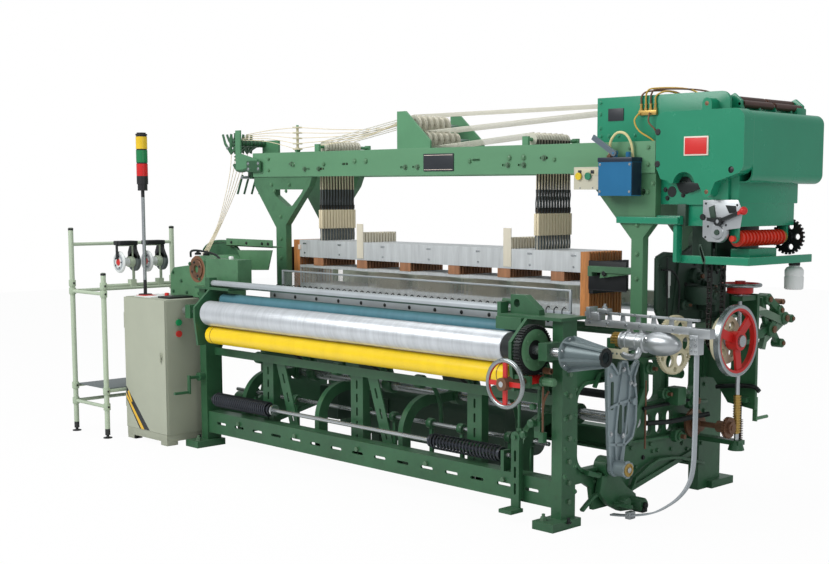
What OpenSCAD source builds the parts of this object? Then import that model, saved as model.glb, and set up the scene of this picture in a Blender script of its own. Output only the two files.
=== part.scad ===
// Power loom with flexible rapiers, a dobby on the right, a control cabinet and a weft creel on the left.
// Millimetres. +X runs to the right along the cloth, +Y to the back, +Z up. The floor is at Z = 0.

/* [Side frames] */
// Middle of a side frame's posts from the middle of the loom
side_x = 1424; // [1300:1:1600]
// Width of a post across the loom
post_w = 63; // [50:1:90]
// Depth of the front post
post_d = 100; // [80:1:140]
// Front face of the front post, in front of the middle
post_front = 650; // [600:1:720]
// Top of the front post
post_top = 970; // [900:1:1050]
// Front face of the rear post, behind the middle
rear_post_y = 460; // [420:1:520]
// Depth of the rear post
rear_post_d = 200; // [150:1:220]
// Thickness of the cast web
web_t = 24; // [16:1:32]
// Top of the rail that joins the posts
rail_top = 800; // [760:1:810]
// Height of that rail
rail_h = 40; // [30:1:60]
// Width of a foot across the loom
foot_w = 127; // [100:1:160]
// Length of a foot
foot_d = 203; // [180:1:240]
// Thickness of a foot
foot_t = 40; // [25:1:50]
// Middle of a foot from the middle of the loom, front to back
foot_y = 645; // [620:1:680]
// Floor bolt hole from the middle, across the loom
bolt_x = 1400; // [1380:1:1440]
// Floor bolt hole from the middle, front to back
bolt_y = 712; // [700:1:725]
// Floor bolt hole
bolt_d = 22; // [16:1:26]

/* [Girders] */
// Bottom of the front girder
girder_z = 85; // [70:1:110]
// Height of the girders
girder_h = 130; // [110:1:150]
// Depth of the front girder
girder_d = 85; // [75:1:90]
// Thickness of the girders
girder_t = 12; // [8:1:16]
// Front face of the front girder, in front of the middle
girder_front = 640; // [630:1:648]
// Length of a girder slot
slot_l = 90; // [60:1:110]
// Height of a girder slot
slot_h = 16; // [12:1:24]
// Number of slots
slot_n = 15; // [8:1:18]
// Underside of the upper cross rail
cross_z = 560; // [540:1:580]
// Height of the upper cross rail
cross_h = 46; // [30:1:50]

/* [Top beams] */
// Left end of the beams, from the middle
beam_left = 1620; // [1560:1:1680]
// Right end of the front beam, from the middle
beam_right = 1560; // [1500:1:1565]
// Underside of the beams
beam_z = 1650; // [1620:1:1680]
// Height of the beams
beam_h = 150; // [120:1:170]
// Thickness of the beams
beam_t = 60; // [40:1:70]
// Front face of the front beam, in front of the middle
beam_front = 110; // [100:1:130]
// Front face of the rear beam, behind the middle
rear_beam_y = 270; // [262:1:290]
// Middle of the left arch's stem, from the middle
arch_left_x = 1345; // [1335:1:1360]
// Middle of the right arch's stem, from the middle
arch_right_x = 1455; // [1440:1:1460]
// Thickness of an arch
arch_t = 44; // [30:1:50]
// Thickness of an arch's base pad
pad_t = 30; // [20:1:40]

/* [Rollers] */
// Radius of the take-up roller
takeup_r = 74; // [60:1:76]
// Height of the take-up roller's axis
takeup_z = 834; // [830:1:840]
// Take-up roller's axis, in front of the middle
takeup_front = 715; // [705:1:725]
// Left end of the rollers, from the middle
roller_left = 1250; // [1200:1:1270]
// Right end of the rollers, from the middle
roller_right = 1190; // [1150:1:1200]
// Radius of the take-up shaft
takeup_shaft_r = 22; // [16:1:26]
// Radius of the cloth roller
cloth_r = 52; // [40:1:54]
// Height of the cloth roller's axis
cloth_z = 703; // [690:1:704]
// Cloth roller's axis, in front of the middle
cloth_front = 700; // [695:1:715]
// Radius of the press roller
press_r = 40; // [30:1:44]
// Height of the press roller's axis
press_z = 907; // [900:1:915]
// Press roller's axis, in front of the middle
press_front = 605; // [600:1:612]
// Radius of the small journals
journal_r = 15; // [10:1:18]
// Tip radius of the take-up gear
gear_r = 117; // [100:1:118]
// Teeth of the take-up gear
gear_teeth = 48; // [30:1:60]
// Radius of the front handwheel
front_wheel_r = 117; // [90:1:125]
// Running clearance of a shaft in its bearing
run_gap = 0.05; // [0.03:0.01:0.09]

/* [Heald frames] */
// Number of heald frames
frame_n = 12; // [8:2:12]
// Spacing of the heald frames
frame_pitch = 23; // [20:1:23]
// Thickness of a heald frame
frame_t = 14; // [10:1:16]
// Front face of the first heald frame, in front of the middle
frame_front = 45; // [40:1:48]
// Left end of the heald frames, from the middle
frame_left = 1290; // [1250:1:1294]
// Right end of the heald frames, from the middle
frame_right = 1115; // [1080:1:1150]
// Top of the upper heald bars
frame_top = 1256; // [1240:1:1270]
// Height of the upper heald bars
bar_h = 106; // [90:1:120]
// Underside of the heald frames
frame_bottom = 925; // [910:1:935]
// Width of a wooden end stave
stave_w = 60; // [40:1:70]
// Left harness from the middle
harness_left = 1020; // [980:1:1060]
// Right harness from the middle
harness_right = 755; // [720:1:800]
// Lift of the heald frames
lift = 80; // [60:1:90]

/* [Sley] */
// Height of the rocking shaft
rock_z = 440; // [430:1:450]
// Rocking shaft, in front of the middle
rock_front = 120; // [110:1:130]
// Radius of the rocking shaft
rock_r = 30; // [24:1:34]
// Front face of the sley, in front of the middle
sley_front = 345; // [335:1:355]
// Depth of the sley
sley_d = 90; // [70:1:100]
// Underside of the sley
sley_z = 900; // [890:1:910]
// Height of the sley
sley_h = 60; // [45:1:65]

/* [Drive] */
// Height of the crankshaft
crank_z = 845; // [840:1:850]
// Crankshaft, behind the middle
crank_y = 190; // [185:1:195]
// Radius of the crankshaft
crank_r = 28; // [22:1:30]
// Radius of the drive handwheel
drive_wheel_r = 175; // [150:1:180]
// Middle plane of the drive handwheel, from the middle
drive_wheel_x = 1840; // [1835:1:1860]
// Pitch radius of the chain wheels
sprocket_r = 57.5; // [50:0.5:60]
// Middle plane of the chain, from the middle
chain_x = 1720; // [1710:1:1730]
// Height of the upper chain wheel
chain_top = 1330; // [1310:1:1332]
// Radius of the rapier wheel
rapier_r = 145; // [130:1:155]
// Middle plane of the rapier wheel, from the middle
rapier_x = 1620; // [1612:1:1625]
// Height of the rapier wheel's axis
rapier_z = 823; // [815:1:830]
// Radius of the let-off handwheel
letoff_r = 109; // [95:1:112]
// Let-off shaft from the middle
letoff_x = 1722; // [1715:1:1730]
// Let-off shaft behind the middle
letoff_y = 400; // [390:1:405]

/* [Dobby] */
// Right face of the dobby, from the middle
dobby_right = 2055; // [2020:1:2080]
// Front face of the dobby cover, in front of the middle
dobby_front = 120; // [112:1:130]
// Back of the dobby, behind the middle
dobby_back = 560; // [520:1:600]
// Underside of the dobby covers
dobby_z = 1600; // [1590:1:1620]
// Top of the dobby covers
dobby_top = 1930; // [1900:1:1950]
// Left end of the dobby casing, from the middle
dobby_left = 1165; // [1140:1:1200]
// Top of the dobby casing
dobby_case_top = 2020; // [2000:1:2050]

/* [Control cabinet] */
// Width
cab_w = 460; // [400:1:480]
// Depth
cab_d = 380; // [340:1:400]
// Height
cab_h = 900; // [850:1:902]
// Right face, left of the middle of the loom
cab_right = 1534; // [1530:1:1560]
// Front face, in front of the middle of the loom
cab_front = 847; // [840:1:860]
// Sheet thickness of the door
door_t = 16; // [10:1:20]
// Height of the base
plinth_h = 70; // [50:1:90]

/* [Weft creel] */
// Radius of the tubes
tube_r = 16; // [12:1:20]
// Tall posts, left of the middle of the loom
creel_left = 2440; // [2400:1:2480]
// Short posts, left of the middle of the loom
creel_right = 2055; // [2045:1:2070]
// Front posts, in front of the middle
creel_front = 950; // [930:1:970]
// Rear posts, in front of the middle
creel_back = 200; // [180:1:240]
// Height of the tall posts
tall_h = 1320; // [1280:1:1360]
// Height of the short posts
short_h = 1046; // [1020:1:1070]

/* [Hidden] */
$fn = 48;

// Inner faces of the side frames' posts
inner_x = side_x - post_w / 2;
// Outer faces of the side frames' posts
outer_x = side_x + post_w / 2;
// Back face of the front posts
post_back = -post_front + post_d;
// Top faces of the beams
beam_top = beam_z + beam_h;
// Middle planes of the front and rear arches
arch_y = [-beam_front + beam_t / 2, rear_beam_y + beam_t / 2];
// Back edge of the front girder's flanges
girder_back = -girder_front + girder_d;
// Top of the girders
girder_top = girder_z + girder_h;
// Places of the curved brackets across the loom
bracket_x = [-1150, -450, 250, 1100];
bracket_t = 36;
// Places of the slotted brace posts across the loom
brace_x = [-900, -100, 800];
// Bearing plates of the front rollers
plate_t = 18;
plate_right = roller_right + 55;
plate_left = -roller_left - 45;
// Hub of the take-up gear
gear_x = 1310;
gear_w = 35;
// Front handwheel and worm, under the take-up gear
worm_x = gear_x + gear_w / 2;
worm_r = 22;
worm_z = takeup_z - gear_r - worm_r - 1;
// Ends of the harness
hook_z0 = 1340;
hook_z1 = 1470;
rope_pulley_r = 35;
rope_pulley_z = beam_top + 30;
// Rows of pulleys in the middle stand
stand_pulleys = [[-190, 1937, 53], [-100, 1852, 44]];
stand_plate = 12;
// Cross bore of the sley and its range are set by the rocking shaft
sley_swords = [-1000, -300, 400, 950];
// Worm wheel of the let-off, beside its worm
letoff_worm_r = 20;
wheel_y = 325;
wheel_r = letoff_y - wheel_y - letoff_worm_r - 1;
cross_shaft_z = 385;
// Radius of the chain's rollers
chain_roller = 5.5;
// Dobby drum and lever
drum = [1950, 1345, 38];
dobby_pivot = [1900, 1425];
// Oil pump
pump = [1280, 1480, -190, -beam_front, 1540, 1720];
// Button box
box = [1110, 1275, -170, -beam_front, 1570, 1680];
// Wooden grip of the start lever and its clearance from the bracket behind it
start_y = -551;
start_r = 13;
start_gap = 1;
// Plane where the casing ends and the dobby's side cover starts
dobby_seam = dobby_right - 70;
// Height of the creel's rails
creel_rails = [200, 300, short_h - 131, short_h - 81, tall_h - 105];
// Weft feeders, along the creel's right side
feeder_y = [-745, -545];
feeder_z = 1110;

// A box between two corners
module bar(x0, x1, y0, y1, z0, z1) {
  translate([x0, y0, z0])
    cube([x1 - x0, y1 - y0, z1 - z0]);
}

// A round rod along X
module xrod(x0, x1, y, z, r) {
  translate([x0, y, z])
    rotate([0, 90, 0])
      cylinder(h = x1 - x0, r = r);
}

// A round rod along Y
module yrod(y0, y1, x, z, r) {
  translate([x, y1, z])
    rotate([90, 0, 0])
      cylinder(h = y1 - y0, r = r);
}

// A round rod along Z
module zrod(z0, z1, x, y, r) {
  translate([x, y, z0])
    cylinder(h = z1 - z0, r = r);
}

// A straight rod between two points
module rod(a, b, r) {
  d = b - a;
  l = norm(d);
  translate(a)
    rotate([0, acos(d[2] / l), atan2(d[1], d[0])])
      cylinder(h = l, r = r, $fn = 16);
}

// A flat shape drawn in Y and Z, given thickness along X
module xplate(x0, x1) {
  translate([x0, 0, 0])
    rotate([90, 0, 90])
      linear_extrude(height = x1 - x0)
        children();
}

// A flat shape drawn in X and Z, given thickness along Y
module yplate(y0, y1) {
  translate([0, y1, 0])
    rotate([90, 0, 0])
      linear_extrude(height = y1 - y0)
        children();
}

// A flat rectangle with round corners
module rounded(x0, y0, x1, y1, r) {
  translate([x0 + r, y0])
    square([x1 - x0 - 2 * r, y1 - y0]);
  translate([x0, y0 + r])
    square([x1 - x0, y1 - y0 - 2 * r]);
  for (x = [x0 + r, x1 - r], y = [y0 + r, y1 - r])
    translate([x, y])
      circle(r = r);
}

// A flat slot with round ends, upright when it is taller than wide
module slot(w, h) {
  r = min(w, h) / 2;
  rounded(-w / 2, -h / 2, w / 2, h / 2, r * 0.98);
}

// A frame of even width around a rounded window
module rim(x0, y0, x1, y1, r, w) {
  difference() {
    rounded(x0 - w, y0 - w, x1 + w, y1 + w, r + w);
    rounded(x0, y0, x1, y1, r);
  }
}

// A flat bar between two points of a plane
module strap(a, b, w) {
  d = b - a;
  translate(a)
    rotate(atan2(d[1], d[0]))
      translate([0, -w / 2])
        square([norm(d), w]);
}

// A toothed disc, drawn flat
module gear_shape(r, teeth, depth) {
  circle(r = r - depth);
  for (i = [0 : teeth - 1])
    rotate(i * 360 / teeth)
      translate([r - depth - 2, -PI * r / teeth / 2 * 0.9])
        square([depth + 2, PI * r / teeth * 0.9]);
}

// A handwheel about Z with a round rim, flat spokes and a hub
module handwheel(r, rim_r, spokes, spoke_w, hub_r, hub_h, bore_r) {
  difference() {
    union() {
      rotate_extrude($fn = 64)
        translate([r - rim_r, 0])
          circle(r = rim_r, $fn = 24);
      for (i = [0 : spokes - 1])
        rotate(i * 360 / spokes)
          translate([hub_r * 0.7, -spoke_w / 2, -rim_r * 0.45])
            cube([r - rim_r * 1.6 - hub_r * 0.7, spoke_w, rim_r * 0.9]);
      translate([0, 0, -hub_h / 2])
        cylinder(h = hub_h, r = hub_r);
    }
    translate([0, 0, -hub_h])
      cylinder(h = 2 * hub_h, r = bore_r);
  }
}

// A crank handle about Y: journal, arm and grip
module crank_handle(x, y0, y1, z, arm, grip) {
  yrod(min(y0, y1), max(y0, y1), x, z, 10);
  side = y1 > y0 ? 1 : -1;
  bar(x - 12, x + 12, min(y1, y1 + side * 10), max(y1, y1 + side * 10), z - arm - 12, z + 14);
  yrod(min(y1, y1 + side * grip), max(y1, y1 + side * grip), x, z - arm, 9);
}

// Web of a side frame, in Y and Z
module web_shape() {
  difference() {
    polygon([[post_back - 2, rail_top - 10], [post_back - 2, 185], [-470, 185], [-410, 150], [-390, 40],
      [-190, 40], [-150, 75], [430, 200], [rear_post_y + 2, 200], [rear_post_y + 2, rail_top - 10]]);
    rounded(-530, 250, -200, 655, 80);
    rounded(-20, 520, 120, 730, 40);
    rounded(190, 520, 430, 730, 50);
    for (y = [40, 130, 220])
      translate([y, 400])
        slot(56, 110);
    translate([330, 285])
      slot(30, 60);
  }
}

// One side frame, drawn on the right
module side_frame() {
  difference() {
    union() {
      bar(inner_x, outer_x, -post_front, post_back, 0, post_top);
      bar(inner_x, outer_x, rear_post_y, rear_post_y + rear_post_d, 0, rail_top);
      bar(inner_x, outer_x, post_back, rear_post_y, rail_top - rail_h, rail_top);
      for (y = [-foot_y, foot_y])
        bar(side_x - foot_w / 2, side_x + foot_w / 2, y - foot_d / 2, y + foot_d / 2, 0, foot_t);
      xplate(side_x - web_t / 2, side_x + web_t / 2)
        web_shape();
      xplate(side_x - 24, side_x + 24) {
        rim(-530, 250, -200, 655, 80, 16);
        rim(-20, 520, 120, 730, 40, 12);
        rim(190, 520, 430, 730, 50, 12);
        polygon([[-150, 75], [430, 200], [rear_post_y, 200], [rear_post_y, 225], [426, 225], [-155, 99]]);
      }
      xrod(side_x - 30, side_x + 30, -rock_front, rock_z, 58);
      xrod(side_x, outer_x + 14, -10, rapier_z, 45);
      xrod(side_x, outer_x + 44, -330, 250, 48);
      bar(side_x - 25, side_x + 25, crank_y - 48, crank_y + 48, rail_top - 5, crank_z);
      xrod(side_x - 25, side_x + 25, crank_y, crank_z, 48);
    }
    for (y = [-bolt_y, bolt_y])
      zrod(-1, foot_t + 1, bolt_x, y, bolt_d / 2);
    xrod(side_x - 60, side_x + 60, crank_y, crank_z, crank_r + run_gap);
    xrod(side_x - 60, side_x + 60, -rock_front, rock_z, rock_r + run_gap);
    xrod(side_x - 60, side_x + 60, -10, rapier_z, 18 + run_gap);
    xrod(side_x + 10, outer_x + 50, -330, 250, 16 + run_gap);
  }
}

module side_frame_right() {
  color("seagreen")
    side_frame();
}

module side_frame_left() {
  color("seagreen")
    mirror([1, 0, 0])
      side_frame();
}

// Slotted channel girders, cross rail and slotted braces under the rollers
module lower_girders() {
  color("seagreen") {
    difference() {
      union() {
        bar(-inner_x, inner_x, -girder_front, -girder_front + girder_t, girder_z, girder_top);
        for (z = [girder_z, girder_top - girder_t])
          bar(-inner_x, inner_x, -girder_front, girder_back, z, z + girder_t);
      }
      for (i = [0 : slot_n - 1])
        translate([-1260 + i * 2520 / (slot_n - 1), 0, girder_z + girder_h / 2])
          yplate(-girder_front - 5, -girder_front + girder_t + 5)
            slot(slot_l, slot_h);
    }
    bar(-inner_x, inner_x, 560, 572, 120, 250);
    for (z = [120, 238])
      bar(-inner_x, inner_x, 490, 572, z, z + 12);
    bar(-inner_x, inner_x, -588, -580, cross_z, cross_z + cross_h);
    bar(-inner_x, inner_x, -588, -540, cross_z, cross_z + 8);
    difference() {
      bar(1060, 1080, -girder_front, -590, girder_top, 315);
      xrod(1050, 1090, -612, 290, 12);
    }
    bar(1175, 1205, -girder_front - 14, -girder_front, 100, 440);
    yrod(-690, -girder_front - 10, 1190, 400, 10);
    for (x = brace_x)
      difference() {
        union() {
          bar(x - 50, x + 50, girder_back, girder_back + 8, girder_z, cross_z);
          for (sx = [x - 50, x + 42])
            bar(sx, sx + 8, girder_back, girder_back + 50, girder_z, cross_z);
        }
        for (z = [130, 205, 280, 355, 430, 505])
          translate([x, 0, z])
            yplate(girder_back - 5, girder_back + 20)
              slot(14, 50);
      }
    for (x = [-780, 30])
      yplate(girder_back, girder_back + 8)
        difference() {
          polygon([[x - 40, cross_z], [x + 40, cross_z], [x + 190, 130], [x + 110, 130]]);
          for (t = [0.2, 0.45, 0.7])
            translate([x + 150 * t, cross_z - 430 * t])
              rotate(19)
                slot(14, 60);
        }
  }
}

// Cast arms that carry the rocking shaft
module curved_brackets() {
  color("darkgreen")
    for (x = bracket_x)
      difference() {
        union() {
          xplate(x - bracket_t / 2, x + bracket_t / 2) {
            translate([girder_back, girder_z])
              square([60, 185]);
            intersection() {
              difference() {
                translate([girder_back + 200, girder_z + 185])
                  circle(r = 200);
                translate([girder_back + 200, girder_z + 185])
                  circle(r = 140);
              }
              translate([girder_back, girder_z + 185])
                square([200, 200]);
            }
            translate([girder_back + 200, rock_z - 25])
              square([-rock_front - girder_back - 200, 50]);
          }
          xrod(x - 30, x + 30, -rock_front, rock_z, 52);
        }
        xrod(x - 40, x + 40, -rock_front, rock_z, rock_r + run_gap);
      }
}

// Two channel beams over the heald frames
module top_beams() {
  color("seagreen") {
    difference() {
      bar(-beam_left, beam_right, -beam_front, -beam_front + beam_t, beam_z, beam_top);
      bar(-beam_left - 1, beam_right + 1, -beam_front + 10, -beam_front + beam_t + 1, beam_z + 12,
        beam_top - 12);
      for (p = [[-1216, 77], [-1070, 45], [-935, 45], [-709, 71], [-195, 46], [-95, 46], [376, 78],
          [595, 48], [708, 47], [860, 81]])
        translate([p[0], 0, beam_z + p[1]])
          yplate(-beam_front - 1, -beam_front + 20)
            slot(60, 14);
    }
    difference() {
      bar(-beam_left, beam_right, rear_beam_y, rear_beam_y + beam_t, beam_z, beam_top);
      bar(-beam_left - 1, beam_right + 1, rear_beam_y - 1, rear_beam_y + beam_t - 10, beam_z + 12,
        beam_top - 12);
    }
  }
}

// Left arch in X and Z
module arch_left_shape() {
  xs = -arch_left_x;
  base = rail_top + pad_t - 2;
  difference() {
    polygon([[xs - 50, base], [xs + 50, base], [xs + 50, 1350], [xs + 285, 1590], [xs + 315, beam_z],
      [-beam_left, beam_z], [-beam_left, beam_z - 50], [xs - 50, 1330]]);
    polygon([[xs - 60, 1570], [xs + 225, 1570], [xs + 205, 1545], [xs + 110, 1465], [xs + 60, 1465],
      [xs - 60, 1535]]);
  }
}

// Right arch in X and Z
module arch_right_shape() {
  base = rail_top + pad_t - 2;
  difference() {
    polygon([[arch_right_x - 35, base], [arch_right_x + 35, base], [arch_right_x + 35, 1340],
      [beam_right, 1420], [beam_right, beam_z], [1120, beam_z], [arch_right_x - 35, 1330]]);
    translate([arch_right_x + 30, 1560])
      circle(r = 16);
  }
}

// Cast arches that carry the beams on the side frames
module arches() {
  color("seagreen")
    for (y = arch_y) {
      yplate(y - arch_t / 2, y + arch_t / 2) {
        arch_left_shape();
        arch_right_shape();
      }
      bar(-outer_x, -arch_left_x + 60, y - arch_t / 2 - 14, y + arch_t / 2, rail_top, rail_top + pad_t);
      bar(inner_x, outer_x + 40, y - arch_t / 2 - 14, y + arch_t / 2, rail_top, rail_top + pad_t);
    }
}

// Hexagon bolt heads
module bolts() {
  color("dimgray") {
    for (p = [[-1216, 77], [-1088, 45], [-952, 45], [-180, 46], [-80, 46], [610, 48], [723, 47], [860, 81]])
      translate([p[0], -beam_front, beam_z + p[1]])
        rotate([90, 0, 0]) {
          cylinder(h = 4, r = 15);
          translate([0, 0, 4])
            cylinder(h = 9, r = 11, $fn = 6);
        }
    for (z = [120, 210, 310, 420, 520, 620, 720, 820], s = [-1, 1])
      translate([s * outer_x, post_back - 50, z])
        rotate([0, s * 90, 0])
          cylinder(h = 10, r = 12, $fn = 6);
    for (sx = [-1, 1], sy = [-1, 1])
      translate([sx * bolt_x, sy * bolt_y, 0]) {
        translate([0, 0, foot_t])
          cylinder(h = 4, r = 18);
        translate([0, 0, foot_t + 4])
          cylinder(h = 14, r = 15, $fn = 6);
        translate([0, 0, foot_t + 18])
          cylinder(h = 14, r = 8);
      }
    for (x = [-1080, -540, 0, 540, 1080])
      translate([x, -girder_front, girder_z + girder_h / 2 + 22])
        rotate([90, 0, 0])
          cylinder(h = 12, r = 13, $fn = 6);
  }
}

// Bright rod and slotted plate over the rollers
module breast_beam() {
  color("silver") {
    xrod(-1300, 1070, -650, post_top + 36, 20);
    difference() {
      union() {
        bar(-1110, 1068, -645, -480, post_top + 15, post_top + 23);
        bar(1060, 1105, -620, -480, post_top + 15, post_top + 23);
      }
      for (i = [0 : 23])
        bar(-1060 + i * 90, -1030 + i * 90, -560, -548, post_top, post_top + 40);
    }
  }
}

// Bearing plate for one end of the three front rollers, in Y and Z
module roller_plate_shape() {
  difference() {
    polygon([[-680, post_top + 2], [-790, 870], [-790, 800], [-770, 640], [-640, 640], [-560, 860],
      [-550, post_top + 2]]);
    translate([-takeup_front, takeup_z])
      circle(r = takeup_shaft_r + run_gap);
    translate([-press_front, press_z])
      circle(r = journal_r + run_gap);
    translate([-cloth_front, cloth_z])
      circle(r = journal_r + run_gap);
  }
}

// Castings that carry the rollers on the front posts
module front_brackets() {
  color("seagreen") {
    xplate(plate_right, plate_right + plate_t)
      roller_plate_shape();
    xplate(plate_left - plate_t, plate_left)
      roller_plate_shape();
    bar(1092, outer_x + 14, -680, -500, post_top, post_top + 15);
    bar(1070, 1092, -680, -625, post_top, 1040);
    bar(1080, 1240, -700, -650, 914, post_top + 2);
    yplate(-640, -600)
      difference() {
        polygon([[1120, post_top + 10], [1300, post_top + 10], [1300, 1010], [1210, 1075],
          [1120, 1075]]);
        translate([1160, 1035])
          circle(r = 20);
      }
    bar(1115, 1135, start_y + start_r + start_gap, -520, post_top + 10, 1050);
    yrod(-566, -530, 1125, 1030, 8);
    bar(-outer_x, -1108, -680, -500, post_top, post_top + 15);
    bar(-1345, -1300, -680, -625, post_top + 10, 1040);
    difference() {
      for (s = [-1, 1])
        bar(s * side_x - 26, s * side_x + 26, -takeup_front - 40, -post_front, takeup_z - 40,
          takeup_z + 40);
      xrod(-1500, 1500, -takeup_front, takeup_z, takeup_shaft_r + run_gap);
    }
    difference() {
      union() {
        bar(plate_right + plate_t - 1, worm_x + 32, -770, -752, worm_z - 32, worm_z + 23);
        bar(plate_right + plate_t - 1, worm_x + 32, -655, -635, worm_z - 32, worm_z + 24);
        zrod(480, worm_z - 30, 1310, -645, 8);
        bar(1292, 1328, -660, -630, 410, 490);
      }
      yrod(-800, -600, worm_x, worm_z, 14 + run_gap);
    }
    difference() {
      yrod(-post_front - 40, -post_front, -side_x, 430, 26);
      yrod(-post_front - 50, -post_front + 5, -side_x, 430, 10 + run_gap);
    }
  }
}

module takeup_roller() {
  color("gray")
    difference() {
      union() {
        xrod(-roller_left, roller_right, -takeup_front, takeup_z, takeup_r);
        xrod(roller_right, roller_right + 38, -takeup_front, takeup_z, 60);
        xrod(-side_x - 45, 1530, -takeup_front, takeup_z, takeup_shaft_r);
        translate([1523, -takeup_front, takeup_z])
          rotate([0, 90, 0])
            rotate_extrude()
              polygon([[takeup_shaft_r - 2, 0], [90, 0], [90, 14], [80, 16], [50, 240], [58, 242],
                [58, 257], [34, 257], [34, 225], [44, 225], [70, 24], [takeup_shaft_r - 2, 24]]);
      }
      for (a = [0 : 60 : 300])
        translate([1775, -takeup_front, takeup_z])
          rotate([a, 0, 0])
            translate([0, 0, 46])
              xrod(-30, 30, 0, 0, 4);
    }
}

module takeup_gear() {
  color("dimgray")
    difference() {
      xplate(gear_x, gear_x + gear_w)
        translate([-takeup_front, takeup_z])
          gear_shape(gear_r, gear_teeth, 9);
      xrod(gear_x - 5, gear_x + 10, -takeup_front, takeup_z, 88);
      xrod(gear_x - 5, gear_x + gear_w + 5, -takeup_front, takeup_z, takeup_shaft_r);
      for (a = [0 : 60 : 300])
        xrod(gear_x - 5, gear_x + gear_w + 5, -takeup_front + 60 * cos(a), takeup_z + 60 * sin(a), 15);
    }
}

module press_roller() {
  color("royalblue") {
    xrod(-roller_left, roller_right, -press_front, press_z, press_r);
    xrod(plate_left - plate_t - 5, plate_right + plate_t + 5, -press_front, press_z, journal_r);
  }
}

module cloth_roller() {
  color("goldenrod") {
    xrod(-roller_left, roller_right, -cloth_front, cloth_z, cloth_r);
    xrod(plate_left - plate_t - 5, plate_right + plate_t + 5, -cloth_front, cloth_z, journal_r);
  }
}

// Handwheel with its worm under the take-up gear
module front_handwheel() {
  color("slategray") {
    translate([worm_x, -900, worm_z])
      rotate([90, 0, 0])
        handwheel(front_wheel_r, 11, 4, 22, 30, 56, 13);
    yrod(-930, -620, worm_x, worm_z, 14);
    yrod(-735, -672, worm_x, worm_z, worm_r - 5);
    for (i = [0 : 5])
      yrod(-733 + i * 11, -728 + i * 11, worm_x, worm_z, worm_r);
  }
}

// A coil spring along X
module coil(x0, x1, y, z, r, wire, turns, seg) {
  n = turns * seg;
  k = 5;
  pts = [for (i = [0 : n], j = [0 : k - 1])
    let (a = 360 * i / seg, b = 360 * j / k, q = r - wire + wire * cos(b))
      [x0 + wire + (x1 - x0 - 2 * wire) * i / n + wire * sin(b), y + q * cos(a), z + q * sin(a)]];
  side = [for (i = [0 : n - 1], j = [0 : k - 1])
    [i * k + j, i * k + (j + 1) % k, (i + 1) * k + (j + 1) % k, (i + 1) * k + j]];
  ends = [[for (j = [k - 1 : -1 : 0]) j], [for (j = [0 : k - 1]) n * k + j]];
  polyhedron(points = pts, faces = concat(side, ends));
}

// Rod along the girder with its two tension springs
module spring_rod() {
  color("dimgray") {
    xrod(-inner_x, 1100, -612, 290, 12);
    for (x = [-1352, -805, -775, 548, 1034])
      xrod(x, x + 14, -612, 290, 34);
    coil(-1340, -803, -612, 290, 45, 6, 26, 12);
    coil(560, 1036, -612, 290, 42, 5, 20, 12);
  }
}

module foot_lever() {
  color("seagreen")
    difference() {
      union() {
        yplate(-680, -664) {
          strap([1190, 400], [1190, 60], 50);
          translate([1190, 400])
            circle(r = 28);
        }
        bar(1150, 1230, -750, -664, 42, 60);
      }
      yrod(-700, -650, 1190, 400, 10 + run_gap);
      for (z = [150, 230, 310])
        translate([1190, 0, z])
          yplate(-700, -650)
            slot(14, 56);
    }
}

module start_lever() {
  color("peru")
    difference() {
      union() {
        rod([992, start_y, 1033], [1112, start_y, 1031], start_r);
        yrod(-560, -542, 1125, 1030, 20);
      }
      yrod(-570, -530, 1125, 1030, 8 + run_gap);
    }
}

module left_crank() {
  color("seagreen")
    crank_handle(-side_x, -post_front - 0.3, -750, 430, 88, 110);
}

module right_crank() {
  color("seagreen")
    crank_handle(letoff_x, 520.3, 565, 500, 100, 120);
}

// Rocking shaft, swords, sley and reed
module sley() {
  s0 = -sley_front;
  s1 = -sley_front + sley_d;
  color("silver") {
    xrod(-side_x - 32, side_x + 32, -rock_front, rock_z, rock_r);
    for (x = sley_swords)
      difference() {
        union() {
          xplate(x - 20, x + 20)
            polygon([[-rock_front - 34, rock_z], [-rock_front + 34, rock_z], [s1 - 5, sley_z + 5],
              [s0 + 15, sley_z + 5], [s0 + 30, 760]]);
          xrod(x - 32, x + 32, -rock_front, rock_z, 48);
        }
        xplate(x - 30, x + 30)
          polygon([[-rock_front - 22, rock_z + 90], [-rock_front - 4, rock_z + 90], [s1 - 45, 800],
            [s0 + 45, 780]]);
      }
    bar(-1150, 1200, s0, s1, sley_z, sley_z + sley_h);
    bar(-1130, 1180, s1 - 14, s1, sley_z + sley_h, sley_z + sley_h + 12);
    bar(-1130, 1180, s1 - 14, s1, sley_z + 168, sley_z + 182);
    for (x = [-1130, 1166])
      bar(x, x + 14, s1 - 14, s1, sley_z + sley_h, sley_z + 182);
    bar(-1116, 1166, s1 - 9, s1 - 5, sley_z + sley_h + 12, sley_z + 168);
    for (i = [0 : 44])
      bar(-1120 + i * 52, -1112 + i * 52, s0 + 20, s0 + 26, sley_z + sley_h, sley_z + sley_h + 34);
  }
}

// One heald frame; its front face lies at y
module heald_frame(y) {
  right = frame_right;
  bar(-frame_left, right, y, y + frame_t, frame_top - bar_h, frame_top);
  bar(-frame_left, right, y, y + frame_t, frame_bottom, frame_bottom + 50);
  for (x = [-frame_left, right - stave_w])
    bar(x, x + stave_w, y, y + frame_t, frame_bottom, frame_top - bar_h);
  for (x = [-1050, -640, -260, 140, 520, 900])
    bar(x - 45, x + 45, y + 2, y + frame_t - 2, frame_top - bar_h - 50, frame_top - bar_h);
  for (z = [frame_top - bar_h - 50, frame_bottom + 62])
    bar(-frame_left + stave_w, right - stave_w, y + 5, y + 9, z - 16, z);
  for (x = [-1050, -640, -260, 140, 520, 900])
    bar(x - 12, x + 12, y + 3, y + 11, frame_bottom + 50, frame_bottom + 64);
  for (x = [-650, 550])
    bar(x - 26, x + 26, y, y + frame_t, frame_top, frame_top + 60);
}

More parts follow.
